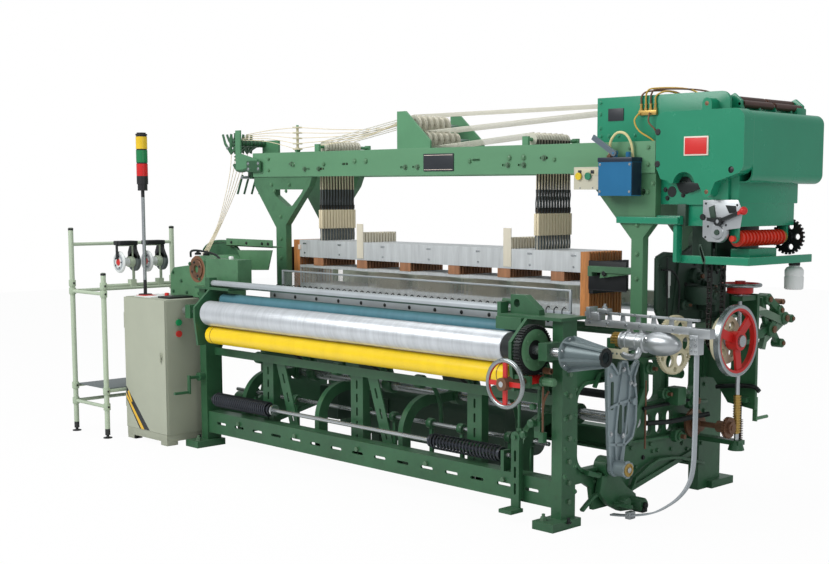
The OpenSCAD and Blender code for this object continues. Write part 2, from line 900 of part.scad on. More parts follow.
module heald_frames_odd() {
  color("lightgray") {
    for (i = [0 : 2 : frame_n - 2])
      heald_frame(-frame_front + i * frame_pitch);
    for (x = [-650, 550])
      bar(x - 28, x + 28, -frame_front - 4, -frame_front, 1160, 1366);
  }
}

module heald_frames_even() {
  color("lightgray")
    for (i = [1 : 2 : frame_n - 1])
      heald_frame(-frame_front + i * frame_pitch);
}

// Cords from one heald frame up to the rope pulleys
module harness(i) {
  y = -frame_front + i * frame_pitch + frame_t / 2;
  for (x = [-harness_left, harness_right]) {
    zrod(frame_top, hook_z0, x, y, 3);
    zrod(hook_z0, hook_z1, x, y, 6);
    zrod(hook_z1, rope_pulley_z, x, y, 4);
  }
}

module harness_odd() {
  color("black")
    for (i = [0 : 2 : frame_n - 2])
      harness(i);
}

module harness_even() {
  color("black")
    for (i = [1 : 2 : frame_n - 1])
      harness(i);
}

// Axes of the two rows of rope pulleys above the harness
rope_x = [-harness_left + rope_pulley_r + 0.3, harness_right - rope_pulley_r - 0.3];

// Plates, pins and posts on the two beams
module beam_fittings() {
  y0 = -beam_front;
  y1 = rear_beam_y + beam_t;
  color("seagreen") {
    for (y = [y0, y1 - stand_plate])
      yplate(y, y + stand_plate)
        polygon([[-250, beam_top], [-250, 2010], [-180, 2010], [20, 1840], [20, beam_top]]);
    for (p = stand_pulleys)
      yrod(y0, y1, p[0], p[1], 12);
    for (x = rope_x) {
      yrod(y0 + 10, y1 - 10, x, rope_pulley_z, 10);
      for (y = [y0 + 10, y1 - 26])
        bar(x - 20, x + 20, y, y + 16, beam_top, rope_pulley_z + 15);
    }
    yrod(y0 + 5, y0 + 30, -1180, beam_top + 14, 14);
    zrod(beam_top, 1965, -1180, y0 + 18, 8);
    for (z = [1815, 1848, 1881, 1914, 1947])
      zrod(z, z + 8, -1180, y0 + 18, 30);
    yplate(y0 - 12, y0)
      polygon([[-1560, 1690], [-1560, 1760], [-1740, 1800], [-1740, 1950], [-1790, 1950], [-1790, 1690]]);
    yrod(y0 - 12, 110, -1770, 1870, 10);
    yrod(y0 - 12, 110, -1770, 1720, 10);
    bar(-1790, -beam_left, 94, 110, 1700, 1890);
    bar(-beam_left - 30, -beam_left, y0 + beam_t, 110, 1700, 1730);
  }
  color("dimgray")
    for (s = [0, 1]) {
      x = s == 0 ? frame_right + 6 : -frame_left - 34;
      difference() {
        bar(x, x + 28, -57, 236, 1048, 1209);
        for (i = [0 : frame_n - 1])
          bar(s == 0 ? x - 1 : x + 16, s == 0 ? x + 12 : x + 29, -frame_front + i * frame_pitch - 2,
            -frame_front + i * frame_pitch + frame_t + 2, 1040, 1220);
      }
    }
  color("seagreen") {
    bar(frame_right + 34, arch_right_x - 35, -102, -58, 1160, 1190);
    bar(frame_right + 34, frame_right + 60, -102, -40, 1140, 1190);
    bar(-frame_left - 60, -frame_left - 34, -58, 20, 1140, 1190);
  }
}

// Grooved pulleys over the beams
module pulleys() {
  color("olivedrab") {
    for (p = stand_pulleys, i = [0 : 5])
      translate([p[0], -30 + i * 2 * frame_pitch, p[1]])
        rotate([90, 0, 0])
          difference() {
            rotate_extrude()
              polygon([[12, -11], [p[2], -11], [p[2] - 9, -4], [p[2] - 9, 4], [p[2], 11], [12, 11]]);
            for (a = [0 : 60 : 300])
              rotate(a)
                translate([p[2] * 0.52, 0, -20])
                  cylinder(h = 40, r = p[2] * 0.15, $fn = 16);
          }
    for (x = rope_x, i = [0 : frame_n - 1])
      translate([x, -frame_front + i * frame_pitch + frame_t / 2, rope_pulley_z])
        rotate([90, 0, 0])
          rotate_extrude()
            polygon([[10, -9], [rope_pulley_r, -9], [rope_pulley_r - 4, -4], [rope_pulley_r - 4, 4],
              [rope_pulley_r, 9], [10, 9]]);
  }
}

// Bands from the harness over the middle stand to the dobby
module lift_bands() {
  up = stand_pulleys[0];
  low = stand_pulleys[1];
  z = rope_pulley_z;
  color("beige")
    for (i = [0 : 5]) {
      y = -30 + i * 2 * frame_pitch;
      yplate(y - 3, y + 3) {
        strap([rope_x[0], z + rope_pulley_r + 2], [up[0], up[1] + up[2] + 2], 4);
        strap([up[0], up[1] + up[2] + 2], [dobby_left - 0.5, 1992], 4);
        strap([low[0], low[1] + low[2] + 2], [dobby_left - 0.5, 1960], 4);
        strap([low[0], low[1] - low[2] - 2], [rope_x[1], z + rope_pulley_r + 2], 4);
      }
    }
}

// Hand levers of the colour selector
module selector_levers() {
  color("olivedrab")
    difference() {
      union()
        for (i = [0 : 5]) {
          y = -95 + i * 32;
          yrod(y, y + 24, -1770, 1870, 20);
          yplate(y + 6, y + 14) {
            strap([-1770, 1870], [-1975, 1895], 26);
            strap([-1955, 1905], [-1955, 1830], 22);
          }
          if (i < 5)
            yrod(y + 23, y + 33, -1770, 1870, 16);
        }
      yrod(-200, 200, -1770, 1870, 10 + run_gap);
    }
}

// Crankshaft with two throws' gears and the lower chain wheel
module crankshaft() {
  color("dimgray") {
    xrod(-side_x - 75, drive_wheel_x + 40, crank_y, crank_z, crank_r);
    for (s = [-1, 1])
      xrod(s * (side_x + 34) - 6, s * (side_x + 34) + 6, crank_y, crank_z, 44);
    xplate(chain_x - 5, chain_x + 5)
      translate([crank_y, crank_z])
        gear_shape(sprocket_r - chain_roller - 0.6, 14, 5);
    xrod(chain_x - 18, chain_x + 18, crank_y, crank_z, 38);
    difference() {
      xrod(drive_wheel_x - 72, drive_wheel_x - 48, crank_y, crank_z, 118);
      for (a = [0 : 60 : 300])
        xrod(drive_wheel_x - 80, drive_wheel_x - 40, crank_y + 74 * cos(a), crank_z + 74 * sin(a), 24);
    }
  }
}

module drive_handwheel() {
  color("red")
    translate([drive_wheel_x, crank_y, crank_z])
      rotate([0, 90, 0])
        difference() {
          union() {
            rotate_extrude($fn = 72)
              polygon([[drive_wheel_r - 30, -13], [drive_wheel_r - 6, -18], [drive_wheel_r, -14],
                [drive_wheel_r, 14], [drive_wheel_r - 6, 18], [drive_wheel_r - 30, 13]]);
            for (i = [0 : 2])
              rotate(i * 120 + 10)
                translate([30, -22, -7])
                  cube([drive_wheel_r - 50, 44, 14]);
            translate([0, 0, -30])
              cylinder(h = 60, r = 46);
          }
          translate([0, 0, -50])
            cylinder(h = 100, r = crank_r);
        }
}

// A point of the chain at a length along it, in Y and Z
function chain_half() = chain_top - crank_z;
function chain_arc() = PI * sprocket_r;
function chain_point(t) =
  t < chain_half() ? [sprocket_r, t] :
  t < chain_half() + chain_arc() ?
    let (a = (t - chain_half()) / sprocket_r * 180 / PI) [sprocket_r * cos(a), chain_half() + sprocket_r * sin(a)] :
  t < 2 * chain_half() + chain_arc() ? [-sprocket_r, 2 * chain_half() + chain_arc() - t] :
    let (a = 180 + (t - 2 * chain_half() - chain_arc()) / sprocket_r * 180 / PI)
      [sprocket_r * cos(a), sprocket_r * sin(a)];

// Roller chain between the crankshaft and the dobby
module drive_chain() {
  n = 52;
  step = (2 * chain_half() + 2 * chain_arc()) / n;
  color("dimgray")
    for (i = [0 : n - 1]) {
      p = chain_point(i * step) + [crank_y, crank_z];
      q = chain_point(((i + 1) % n) * step) + [crank_y, crank_z];
      w = i % 2 == 0 ? 7 : 10;
      xrod(chain_x - 13, chain_x + 13, p[0], p[1], chain_roller);
      for (x = [chain_x - w - 3, chain_x + w])
        xplate(x, x + 3)
          strap(p, q, 14);
    }
}

module upper_chain_wheel() {
  color("dimgray") {
    xplate(chain_x - 5, chain_x + 5)
      translate([crank_y, chain_top])
        gear_shape(sprocket_r - chain_roller - 0.6, 14, 5);
    xrod(chain_x - 18, chain_x + 18, crank_y, chain_top, 34);
    xrod(chain_x - 25, chain_x + 68, crank_y, chain_top, 15);
  }
}

// Large perforated wheel that drives the rapier
module rapier_wheel() {
  color("beige") {
    difference() {
      xplate(rapier_x - 8, rapier_x + 8)
        translate([-10, rapier_z])
          gear_shape(rapier_r, 72, 6);
      for (a = [0 : 60 : 300]) {
        xrod(rapier_x - 20, rapier_x + 20, -10 + 88 * cos(a), rapier_z + 88 * sin(a), 33);
        xrod(rapier_x - 20, rapier_x + 20, -10 + 120 * cos(a + 30), rapier_z + 120 * sin(a + 30), 13);
      }
    }
    xrod(rapier_x - 30, rapier_x + 22, -10, rapier_z, 40);
    xrod(side_x - 30, rapier_x - 25, -10, rapier_z, 18);
  }
}

// Rapier drive head, its rails and the curved guide for the flexible tape
module rapier_case() {
  y = -300;
  color("silver") {
    bar(outer_x, 1505, y - 30, y + 30, 775, 870);
    xrod(1504, 1530, y, 860, 30);
    for (i = [0 : 15])
      translate([1528, y, 860])
        rotate([i * 22.5, 0, 0])
          bar(-26, 4, -4, 4, 26, 36);
    xrod(1530, 1545, y, 860, 44);
    xrod(1540, 1650, y, 860, 38);
    translate([1645, y, 860])
      rotate([0, 90, 0])
        rotate_extrude()
          polygon([[0, 0], [38, 0], [44, 14], [56, 40], [60, 75], [60, 110], [56, 150], [44, 185],
            [24, 205], [0, 212]]);
    for (x = [1560, 1630, 1720])
      bar(x, x + 16, y - 12, y + 12, 890, 916);
    difference() {
      bar(1310, 2020, y - 15, y + 15, 915, 955);
      bar(1300, 2030, y - 9, y + 9, 932, 960);
    }
    bar(1310, 1400, y - 26, y + 26, 955, 985);
    for (x = [1385, 1470, 1560, 1650, 1740])
      bar(x, x + 30, y - 22, y + 22, 950, 1008);
    bar(1320, 1870, y - 12, y + 12, 1005, 1025);
    bar(1990, 2032, y - 24, y + 24, 905, 990);
    difference() {
      bar(1575, 1700, y - 34, y - 28, 800, 832);
      for (i = [0 : 4])
        yrod(y - 40, y - 20, 1590 + i * 24, 816, 5);
    }
    bar(1575, 1700, y - 28, y - 20, 812, 832);
    bar(1944, 1956, y - 15, y + 15, 466, 916);
    bar(1932, 1968, y - 20, y + 20, 760, 916);
    translate([1500, y + 15, 466])
      rotate([90, 0, 0])
        rotate([0, 0, -90])
          rotate_extrude(angle = 90, $fn = 96)
            translate([444, 0])
              square([12, 30]);
    bar(1600, 1640, y - 24, y + 24, 10, 60);
  }
  color("seagreen") {
    bar(outer_x, 1600, y - 10, y + 10, 60, 76);
  }
}

// Cast lever that swings the rapier drive
module swing_lever() {
  color("slategray")
    difference() {
      union() {
        xplate(outer_x + 50, outer_x + 74)
          difference() {
            polygon([[-372, 230], [-288, 230], [-238, 560], [-232, 700], [-262, 790], [-290, 800],
              [-300, 740], [-325, 730], [-350, 800], [-380, 800], [-390, 740], [-425, 800],
              [-448, 800], [-440, 600], [-420, 420]]);
            translate([-330, 470])
              slot(40, 130);
            translate([-395, 560])
              slot(22, 150);
            translate([-375, 340])
              slot(20, 90);
          }
        xrod(outer_x + 46, outer_x + 90, -330, 250, 42);
        xrod(outer_x + 74, outer_x + 98, -320, 600, 26);
        xplate(outer_x + 74, outer_x + 84) {
          strap([-320, 600], [-345, 300], 14);
        }
      }
      xplate(outer_x + 80, outer_x + 110)
        translate([-330, 250])
          rim(-1, -1, 1, 1, 0.9, 18);
    }
  color("goldenrod")
    xrod(side_x + 12, outer_x + 106, -330, 250, 16);
}

// Brackets of the let-off, on the right rear post
module letoff_case() {
  zs = [800, 1020];
  color("seagreen")
    difference() {
      union() {
        bar(outer_x, outer_x + 14, rear_post_y + 10, 640, 600, rail_top);
        yplate(500, 520)
          difference() {
            polygon([[outer_x, 600], [1510, 600], [1600, 480], [letoff_x + 40, 460],
              [letoff_x + 40, 1050], [1600, 1050], [outer_x, 800]]);
            translate([1620, 900])
              circle(r = 40);
            translate([1590, 700])
              slot(50, 110);
          }
        for (z = zs)
          bar(letoff_x - 32, letoff_x + 32, letoff_y - 26, 502, z, z + 24);
        xrod(side_x + web_t / 2, 1500, wheel_y, cross_shaft_z, 40);
        bar(side_x + web_t / 2, letoff_x + 30, letoff_y - 25, letoff_y + 32, 288, 312);
        translate([letoff_x, letoff_y, 262])
          cylinder(h = 50, r1 = 42, r2 = 28);
        yrod(505, 520, letoff_x, 500, 30);
      }
      zrod(200, 1100, letoff_x, letoff_y, 12 + run_gap);
      xrod(side_x, 1510, wheel_y, cross_shaft_z, 14 + run_gap);
      yrod(480, 530, letoff_x, 500, 10 + run_gap);
    }
}

module letoff_handwheel() {
  color("red") {
    translate([letoff_x, letoff_y, 1100])
      handwheel(letoff_r, 9, 3, 26, 26, 40, 11);
    zrod(270, 1115, letoff_x, letoff_y, 12);
    zrod(350, 540, letoff_x, letoff_y, letoff_worm_r - 5);
    for (i = [0 : 14])
      zrod(352 + i * 13, 358 + i * 13, letoff_x, letoff_y, letoff_worm_r);
  }
}

module letoff_wormwheel() {
  color("sienna") {
    xplate(letoff_x - 10, letoff_x + 10)
      translate([wheel_y, cross_shaft_z])
        gear_shape(wheel_r, 26, 5);
    xrod(letoff_x - 60, letoff_x + 26, wheel_y, cross_shaft_z, 30);
    xrod(side_x + 14, letoff_x + 30, wheel_y, cross_shaft_z, 14);
    xrod(1505, 1520, wheel_y, cross_shaft_z, 75);
    xrod(1520, 1560, wheel_y, cross_shaft_z, 40);
  }
}

// Rail behind the heald frames and the arms of the back roller
module back_rest() {
  color("seagreen") {
    difference() {
      bar(-inner_x, inner_x, 500, 560, 960, 1030);
      bar(-inner_x + 8, inner_x - 8, 510, 561, 970, 1020);
    }
    for (i = [0 : 39])
      bar(-1330 + i * 68, -1322 + i * 68, 480, 500, 955, 985);
    for (s = [-1, 1]) {
      bar(s * side_x - post_w / 2, s * side_x + post_w / 2, 495, 570, rail_top, 1040);
      difference() {
        union() {
          xplate(s * side_x - 14, s * side_x + 14)
            polygon([[560, 880], [870, 890], [900, 930], [870, 970], [560, 1010]]);
          xrod(s * side_x - 24, s * side_x + 24, 870, 930, 42);
        }
        xrod(s * side_x - 30, s * side_x + 30, 870, 930, 18 + run_gap);
      }
    }
    yplate(600, 624)
      polygon([[side_x - 20, 860], [outer_x + 30, 1010], [1660, 990], [1700, 950], [1660, 930],
        [1560, 930], [outer_x, 860]]);
    bar(side_x - 20, outer_x + 20, 565, 624, 880, 960);
    xplate(1640, 1700) {
      strap([615, 960], [880, 880], 40);
    }
    xplate(1660, 1690) {
      strap([700, 800], [905, 900], 46);
      strap([715, 820], [690, 750], 30);
    }
  }
}

module back_roller() {
  color("silver") {
    xrod(-1360, 1360, 870, 930, 50);
    xrod(-side_x - 34, side_x + 150, 870, 930, 18);
  }
}

// Closed casing of the dobby and what it stands on
module dobby_casing() {
  color("seagreen") {
    difference() {
      union() {
        bar(dobby_left, beam_right, -60, 500, beam_top, dobby_case_top);
        bar(beam_right, 1800, -40, 500, 1500, dobby_case_top);
        bar(1800, dobby_seam, -40, dobby_back, 1500, dobby_top);
      }
      yplate(-70, -20)
        translate([1625, 1560])
          circle(r = 16);
    }
    bar(1700, dobby_seam + 15, -45, 450, 1400, 1502);
    for (x = [1880, 1950])
      difference() {
        union()
          for (y = [10, 270, 530])
            bar(x - 24, x + 24, y, y + 20, dobby_top - 2, dobby_top + 52);
        yrod(0, 560, x, dobby_top + 30, 6);
      }
    for (x = [1880, 1950]) {
      yrod(2, 558, x, dobby_top + 30, 6);
      yrod(32, 268, x, dobby_top + 30, 19);
      yrod(292, 528, x, dobby_top + 30, 19);
    }
    bar(1428, 1534, -82, -60, dobby_case_top - 95, dobby_case_top - 63);
    bar(beam_right, 1700, -100, -64, 1405, 1450);
    bar(1664, 1700, -100, -50, 1180, 1410);
    bar(1690, 1712, -70, -40, 1400, 1450);
    difference() {
      union() {
        bar(1664, dobby_right + 5, -60, 500, 1180, 1192);
        bar(1664, dobby_right + 5, -60, -52, 1170, 1225);
        bar(dobby_right - 3, dobby_right + 5, -60, 500, 1170, 1225);
      }
      bar(1694, 1750, crank_y - 75, crank_y + 75, 1150, 1240);
    }
    bar(1792, 1804, 60, 430, 1190, 1402);
    difference() {
      union() {
        bar(1764, 1784, crank_y - 28, crank_y + 28, chain_top - 28, 1402);
        for (y = [-20, 405])
          bar(drum[0] - 22, drum[0] + 22, y, y + 16, drum[1] - 22, 1402);
      }
      xrod(1750, 1800, crank_y, chain_top, 15 + run_gap);
      yrod(-60, 500, drum[0], drum[1], 14 + run_gap);
    }
  }
  color("gainsboro") {
    zrod(1150, 1181, 2000, 440, 20);
    oil_bottle();
  }
  color("silver") {
    difference() {
      union() {
        bar(1850, 2045, -58, -45, 1395, 1530);
        bar(1850, 1920, -58, -45, 1322, 1400);
        yrod(-66, -45, 1880, 1370, 48);
      }
      yplate(-70, -40)
        translate([1880, 1490])
          slot(16, 60);
    }
    yrod(-92, -50, dobby_pivot[0], dobby_pivot[1], 9);
  }
}

// White bottle under the shelf
module oil_bottle() {
  translate([2000, 440, 1040])
    rotate_extrude()
      polygon([[0, 0], [42, 0], [46, 6], [46, 92], [40, 104], [24, 112], [24, 124], [0, 124]]);
}

// Rounded front cover with two ears
module dobby_front_cover() {
  color("seagreen")
    difference() {
      yplate(-dobby_front, -40)
        difference() {
          union() {
            rounded(1570, 1640, dobby_right, dobby_top + 5, 50);
            polygon([[1575, 1670], [1600, 1620], [1640, 1612], [1650, 1600], [1812, 1600], [1835, 1560],
              [1883, 1560], [1905, 1605], [2030, 1645], [dobby_right, 1700]]);
            translate([1859, 1560])
              circle(r = 24);
            translate([1852, dobby_top + 32])
              circle(r = 26);
            translate([1826, dobby_top - 30])
              square([52, 62]);
          }
          translate([1732, 1590])
            circle(r = 62);
          translate([1990, 1660])
            circle(r = 15);
          for (z = [1690, 1840])
            translate([1572, z])
              circle(r = 11);
        }
      yplate(-dobby_front + 8, -39)
        difference() {
          rounded(1580, 1672, dobby_right - 10, dobby_top - 5, 42);
          translate([1732, 1590])
            circle(r = 92);
        }
      for (p = [[1859, 1560], [1852, dobby_top + 32]])
        yrod(-dobby_front - 1, -dobby_front + 10, p[0], p[1], 10);
    }
}

// Rounded cover on the dobby's right side
module dobby_side_cover() {
  color("seagreen")
    difference() {
      yplate(-40, dobby_back + 25)
        rounded(dobby_seam - 60, dobby_z, dobby_right, dobby_top, 46);
      yplate(-41, dobby_back + 17)
        rounded(dobby_seam - 61, dobby_z + 8, dobby_right - 8, dobby_top - 8, 38);
      bar(dobby_seam - 85, dobby_seam, -50, dobby_back + 60, dobby_z - 100, dobby_top + 70);
    }
}

module dobby_drum() {
  color("red") {
    yrod(0, 400, drum[0], drum[1], drum[2] - 6);
    for (i = [0 : 12])
      yrod(4 + i * 30, 14 + i * 30, drum[0], drum[1], drum[2]);
    yrod(-40, 480, drum[0], drum[1], 14);
    yplate(456, 468)
      translate([drum[0], drum[1]])
        difference() {
          gear_shape(88, 26, 9);
          for (a = [0 : 72 : 288])
            rotate(a)
              translate([52, 0])
                circle(r = 14);
        }
    yrod(440, 475, drum[0], drum[1], 30);
  }
}

module dobby_lever() {
  a = [dobby_pivot[0], -80, dobby_pivot[1]];
  color("dimgray") {
    difference() {
      union() {
        yrod(-88, -68, a[0], a[2], 20);
        yplate(-84, -74)
          strap([a[0], a[2]], [a[0] + 125, a[2] + 46], 16);
        yplate(-84, -74)
          strap([a[0], a[2]], [a[0] - 60, a[2] + 10], 16);
      }
      yrod(-100, -40, a[0], a[2], 9 + run_gap);
    }
  }
  color("red")
    translate([a[0] + 135, -79, a[2] + 50])
      sphere(r = 19, $fn = 32);
}

// Lubrication pump on the front beam
module oil_pump() {
  color("steelblue")
    difference() {
      bar(pump[0], pump[1], pump[2], pump[3], pump[4], pump[5]);
      zrod(pump[5] - 12, pump[5] + 1, pump[0] + 45, -150, 16);
      zrod(pump[5] - 12, pump[5] + 1, pump[1] - 50, -150, 12);
    }
  color("chocolate")
    zrod(pump[5] - 12, pump[5] + 16, pump[0] + 45, -150, 16);
  color("gainsboro") {
    zrod(pump[5] - 12, pump[5] + 30, pump[1] - 50, -150, 12);
    difference() {
      bar(pump[0] + 78, pump[0] + 92, -172, -158, pump[5], pump[5] + 36);
      yrod(-180, -150, pump[0] + 85, pump[5] + 24, 5);
    }
    yrod(-186, -150, pump[0] + 85, pump[5] + 24, 5);
  }
}

module pump_handle() {
  color("slategray")
    difference() {
      union() {
        yplate(-184, -174) {
          strap([pump[0] + 85, pump[5] + 24], [pump[0] - 45, pump[5] + 104], 26);
          translate([pump[0] + 85, pump[5] + 24])
            circle(r = 15);
        }
      }
      yrod(-200, -160, pump[0] + 85, pump[5] + 24, 5 + run_gap);
    }
}

// Gear case and terminal box on the left, motor case in the middle, chain guard on the right
module drive_cases() {
  color("seagreen") {
    difference() {
      yplate(-600, -300)
        polygon([[-outer_x, 905], [-outer_x, 1090], [-1475, 1135], [-1510, 1160], [-1560, 1162],
          [-1600, 1140], [-1630, 1100], [-1800, 1080], [-1840, 1040], [-1840, 905]]);
      yrod(-601, -590, -1544, 1080, 62);
    }
    difference() {
      yrod(-606, -585, -1544, 1080, 58);
      yrod(-610, -596, -1544, 1080, 24);
    }
    bar(-outer_x + 5, -1120, -600, -500, post_top + 24, 1150);
    bar(-outer_x + 5, -1120, -600, -500, post_top + 15, post_top + 24);
  }
  color("darkgreen") {
    xplate(-850, 400)
      rounded(100, 50, 450, 360, 70);
    for (x = [-760, 240]) {
      bar(x, x + 70, 130, 420, 0, 60);
      bar(x, x + 70, 420, 560, 96, 120);
    }
    difference() {
      bar(-640, -560, 88, 104, 150, 300);
      for (z = [170, 200, 230, 260])
        bar(-630, -570, 80, 94, z, z + 12);
    }
  }
}

module button_box() {
  color("lightgray")
    difference() {
      bar(box[0], box[1], box[2], box[3], box[4], box[5]);
      for (x = [box[0] + 35, box[0] + 95])
        yrod(box[2] - 5, box[2] + 30, x, box[5] - 45, 12 + run_gap);
    }
}

// A push button in the box, at x
module box_button(x) {
  difference() {
    union() {
      yrod(box[2] - 12, box[2] - 4, x, box[5] - 45, 18);
      yrod(box[2] - 6, box[2] + 20, x, box[5] - 45, 12);
    }
    yrod(box[2] - 13, box[2] - 11, x, box[5] - 45, 12);
  }
}

module yellow_button() {
  color("gold")
    box_button(box[0] + 35);
}

module green_button() {
  color("limegreen")
    box_button(box[0] + 95);
}

// Places on the cabinet's right face
cab_left = -cab_right - cab_w;
cab_back = -cab_front + cab_d;
hinge_r = 6;
cab_button_y = -cab_front + 95;
cab_button_z = [760, 690];
breaker_y = -cab_front + 250;
breaker_z = 745;

module cabinet_body() {
  x0 = cab_left;
  x1 = -cab_right;
  y0 = -cab_front + door_t;
  color("gainsboro") {
    difference() {
      bar(x0, x1, y0, cab_back, plinth_h, cab_h);
      bar(x0 + 15, x1 - 15, y0 - 1, cab_back - 15, plinth_h + 15, cab_h - 15);
      for (z = cab_button_z)
        xrod(x1 - 30, x1 + 5, cab_button_y, z, 14 + run_gap);
      for (i = [0 : 3])
        bar(x1 - 20, x1 + 5, cab_back - 110, cab_back - 30, 430 + i * 22, 440 + i * 22);
    }
    bar(x0 + 30, x1 - 30, cab_back - 40, cab_back - 20, plinth_h + 100, cab_h - 100);
    difference() {
      bar(x0 + 15, x1 - 15, y0 + 10, cab_back - 15, 0, plinth_h);
      bar(x0 + 35, x1 - 35, y0, cab_back - 35, -1, plinth_h + 1);
      bar(x0 + 60, x1 - 60, y0, cab_back, -1, plinth_h - 35);
      bar(x0, x1, y0 + 55, cab_back - 55, -1, plinth_h - 35);
    }
    bar(x1, x1 + 6, breaker_y - 34, breaker_y + 34, breaker_z - 34, breaker_z + 34);
    difference() {
      bar(x1 + 4, x1 + 22, breaker_y - 26, breaker_y + 26, breaker_z - 26, breaker_z + 26);
      bar(x1 + 8, x1 + 30, breaker_y - 18, breaker_y + 18, breaker_z - 22, breaker_z + 22);
      yrod(breaker_y - 22, breaker_y + 22, x1 + 15, breaker_z, 3 + run_gap);
    }
    for (z = [200, 700]) {
      zrod(z, z + 60, x0 - hinge_r, y0 - 8, hinge_r);
      bar(x0 - 4, x0, y0 - 8, y0 + 30, z, z + 60);
    }
  }
}

module cabinet_door() {
  x0 = cab_left;
  x1 = -cab_right;
  y0 = -cab_front;
  color("silver")
    difference() {
      union() {
        bar(x0 + 2, x1 - 2, y0, y0 + door_t - 0.3, plinth_h + 3, cab_h - 3);
        for (z = [260.3, 760.3]) {
          zrod(z, z + 40, x0 - hinge_r, y0 + door_t - 8, hinge_r);
          bar(x0 - hinge_r, x0 + 10, y0 + door_t - 11, y0 + door_t - 5, z, z + 40);
        }
        yrod(y0 - 8, y0 + 2, x1 - 45, 560, 14);
        bar(x1 - 52, x1 - 38, y0 - 16, y0 - 7, 520, 575);
      }
      bar(x0 + 12, x1 - 12, y0 + 3, y0 + door_t, plinth_h + 13, cab_h - 13);
    }
}

// A push button on the cabinet's side, at height z
module side_button(z) {
  x = -cab_right;
  xrod(x + 4, x + 12, cab_button_y, z, 20);
  xrod(x - 20, x + 6, cab_button_y, z, 14);
}

module start_button() {
  color("limegreen")
    side_button(cab_button_z[0]);
}

module stop_button() {
  color("red")
    side_button(cab_button_z[1]);
}

module breaker_toggle() {
  x = -cab_right + 15;
  color("red") {
    yrod(breaker_y - 22, breaker_y + 22, x, breaker_z, 3);
    yrod(breaker_y - 14, breaker_y + 14, x, breaker_z, 5.5);
    toggle_lever(x);
  }
}

// Small lever of the breaker
module toggle_lever(x) {
  translate([x, breaker_y, breaker_z])
    rotate([0, 65, 0])
      translate([-3, -10, 0])
        cube([6, 20, 24]);
}

module signal_tower() {
  x = cab_left + 49;
  y = -cab_front + 127;
  color("gainsboro") {
    zrod(cab_h, cab_h + 12, x, y, 42);
    zrod(cab_h + 12, 1560, x, y, 11);
    zrod(1560, 1600, x, y, 30);
    zrod(1600, 1650, x, y, 35);
    for (i = [0 : 2]) {
      zrod(1650 + i * 84, 1728 + i * 84, x, y, 35);
      zrod(1728 + i * 84, 1734 + i * 84, x, y, 32);
    }
    zrod(1902, 1912, x, y, 36);
    zrod(1912, 1920, x, y, 28);
  }
}

// Tube frame that holds the weft feeders
module weft_creel() {
  xs = [-creel_left, -creel_right];
  ys = [-creel_front, -creel_back];
  color("black")
    difference() {
      union() {
        for (y = ys) {
          zrod(20, tall_h, xs[0], y, tube_r);
          zrod(20, short_h, xs[1], y, tube_r);
          xrod(xs[0], xs[1], y, creel_rails[0], tube_r * 0.7);
          xrod(xs[0], xs[1], y, creel_rails[2], tube_r * 0.7);
          zrod(0, 6, xs[0], y, 26);
          zrod(0, 6, xs[1], y, 26);
          zrod(4, 24, xs[0], y, 8);
          zrod(4, 24, xs[1], y, 8);
        }
        yrod(ys[0], ys[1], xs[0], creel_rails[4], tube_r * 0.7);
        yrod(ys[0], ys[1], xs[0], creel_rails[2], tube_r * 0.7);
        yrod(ys[0], ys[1], xs[0], creel_rails[0], tube_r * 0.7);
        yrod(ys[0], ys[1], xs[1], creel_rails[3], tube_r * 0.7);
        yrod(ys[0], ys[1], xs[1], creel_rails[1], tube_r * 0.7);
        yrod(ys[0], ys[1], xs[0], creel_rails[1], tube_r * 0.7);
        for (y = [-750, -575, -400])
          xrod(xs[0], xs[1], y, creel_rails[1], tube_r * 0.6);
        for (y = feeder_y) {
          bar(xs[1] - 20, xs[1] + 20, y - 20, y + 20, creel_rails[3] - 10, creel_rails[3] + 34);
          zrod(creel_rails[3], feeder_z + 120, xs[1] - 20, y + 24, 9);
          yrod(y - 12, y + 34, xs[1] - 20, feeder_z, 34);
          bar(xs[1] - 34, xs[1] - 6, y - 84, y + 34, feeder_z + 100, feeder_z + 124);
        }
      }
      for (y = feeder_y)
        yrod(y - 30, y + 10, xs[1] - 20, feeder_z, 10 + run_gap);
    }
}

// Winding disc of a weft feeder
module feeder_disc(y) {
  x = -creel_right - 20;
  translate([x, y - 13, feeder_z])
    rotate([90, 0, 0])
      rotate_extrude()
        polygon([[0, 0], [26, 0], [28, 30], [30, 60], [62, 62], [68, 58], [68, 64], [62, 70], [20, 72],
          [0, 72]]);
  yrod(y - 16, y + 9, x, feeder_z, 10);
}

module feeder_disc_a() {
  color("gainsboro")
    feeder_disc(feeder_y[0]);
}

module feeder_disc_b() {
  color("gainsboro")
    feeder_disc(feeder_y[1]);
}

side_frame_right();
side_frame_left();
lower_girders();
curved_brackets();
top_beams();
arches();
bolts();
breast_beam();
front_brackets();
takeup_roller();
takeup_gear();
press_roller();
cloth_roller();
front_handwheel();
spring_rod();
foot_lever();
start_lever();
left_crank();
right_crank();
sley();
heald_frames_odd();
heald_frames_even();
harness_odd();
harness_even();
beam_fittings();
pulleys();
lift_bands();
selector_levers();
crankshaft();
drive_handwheel();
drive_chain();
upper_chain_wheel();
rapier_wheel();
rapier_case();
swing_lever();
letoff_case();
letoff_handwheel();
letoff_wormwheel();
back_rest();
dobby_casing();
dobby_front_cover();
dobby_side_cover();
dobby_drum();
dobby_lever();
oil_pump();
pump_handle();
back_roller();
drive_cases();
button_box();
yellow_button();
green_button();
cabinet_body();
cabinet_door();
start_button();
stop_button();
breaker_toggle();
signal_tower();
weft_creel();
feeder_disc_a();
feeder_disc_b();
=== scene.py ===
import math
import random
from collections import namedtuple

import bmesh
import bpy
from mathutils import Matrix, Vector

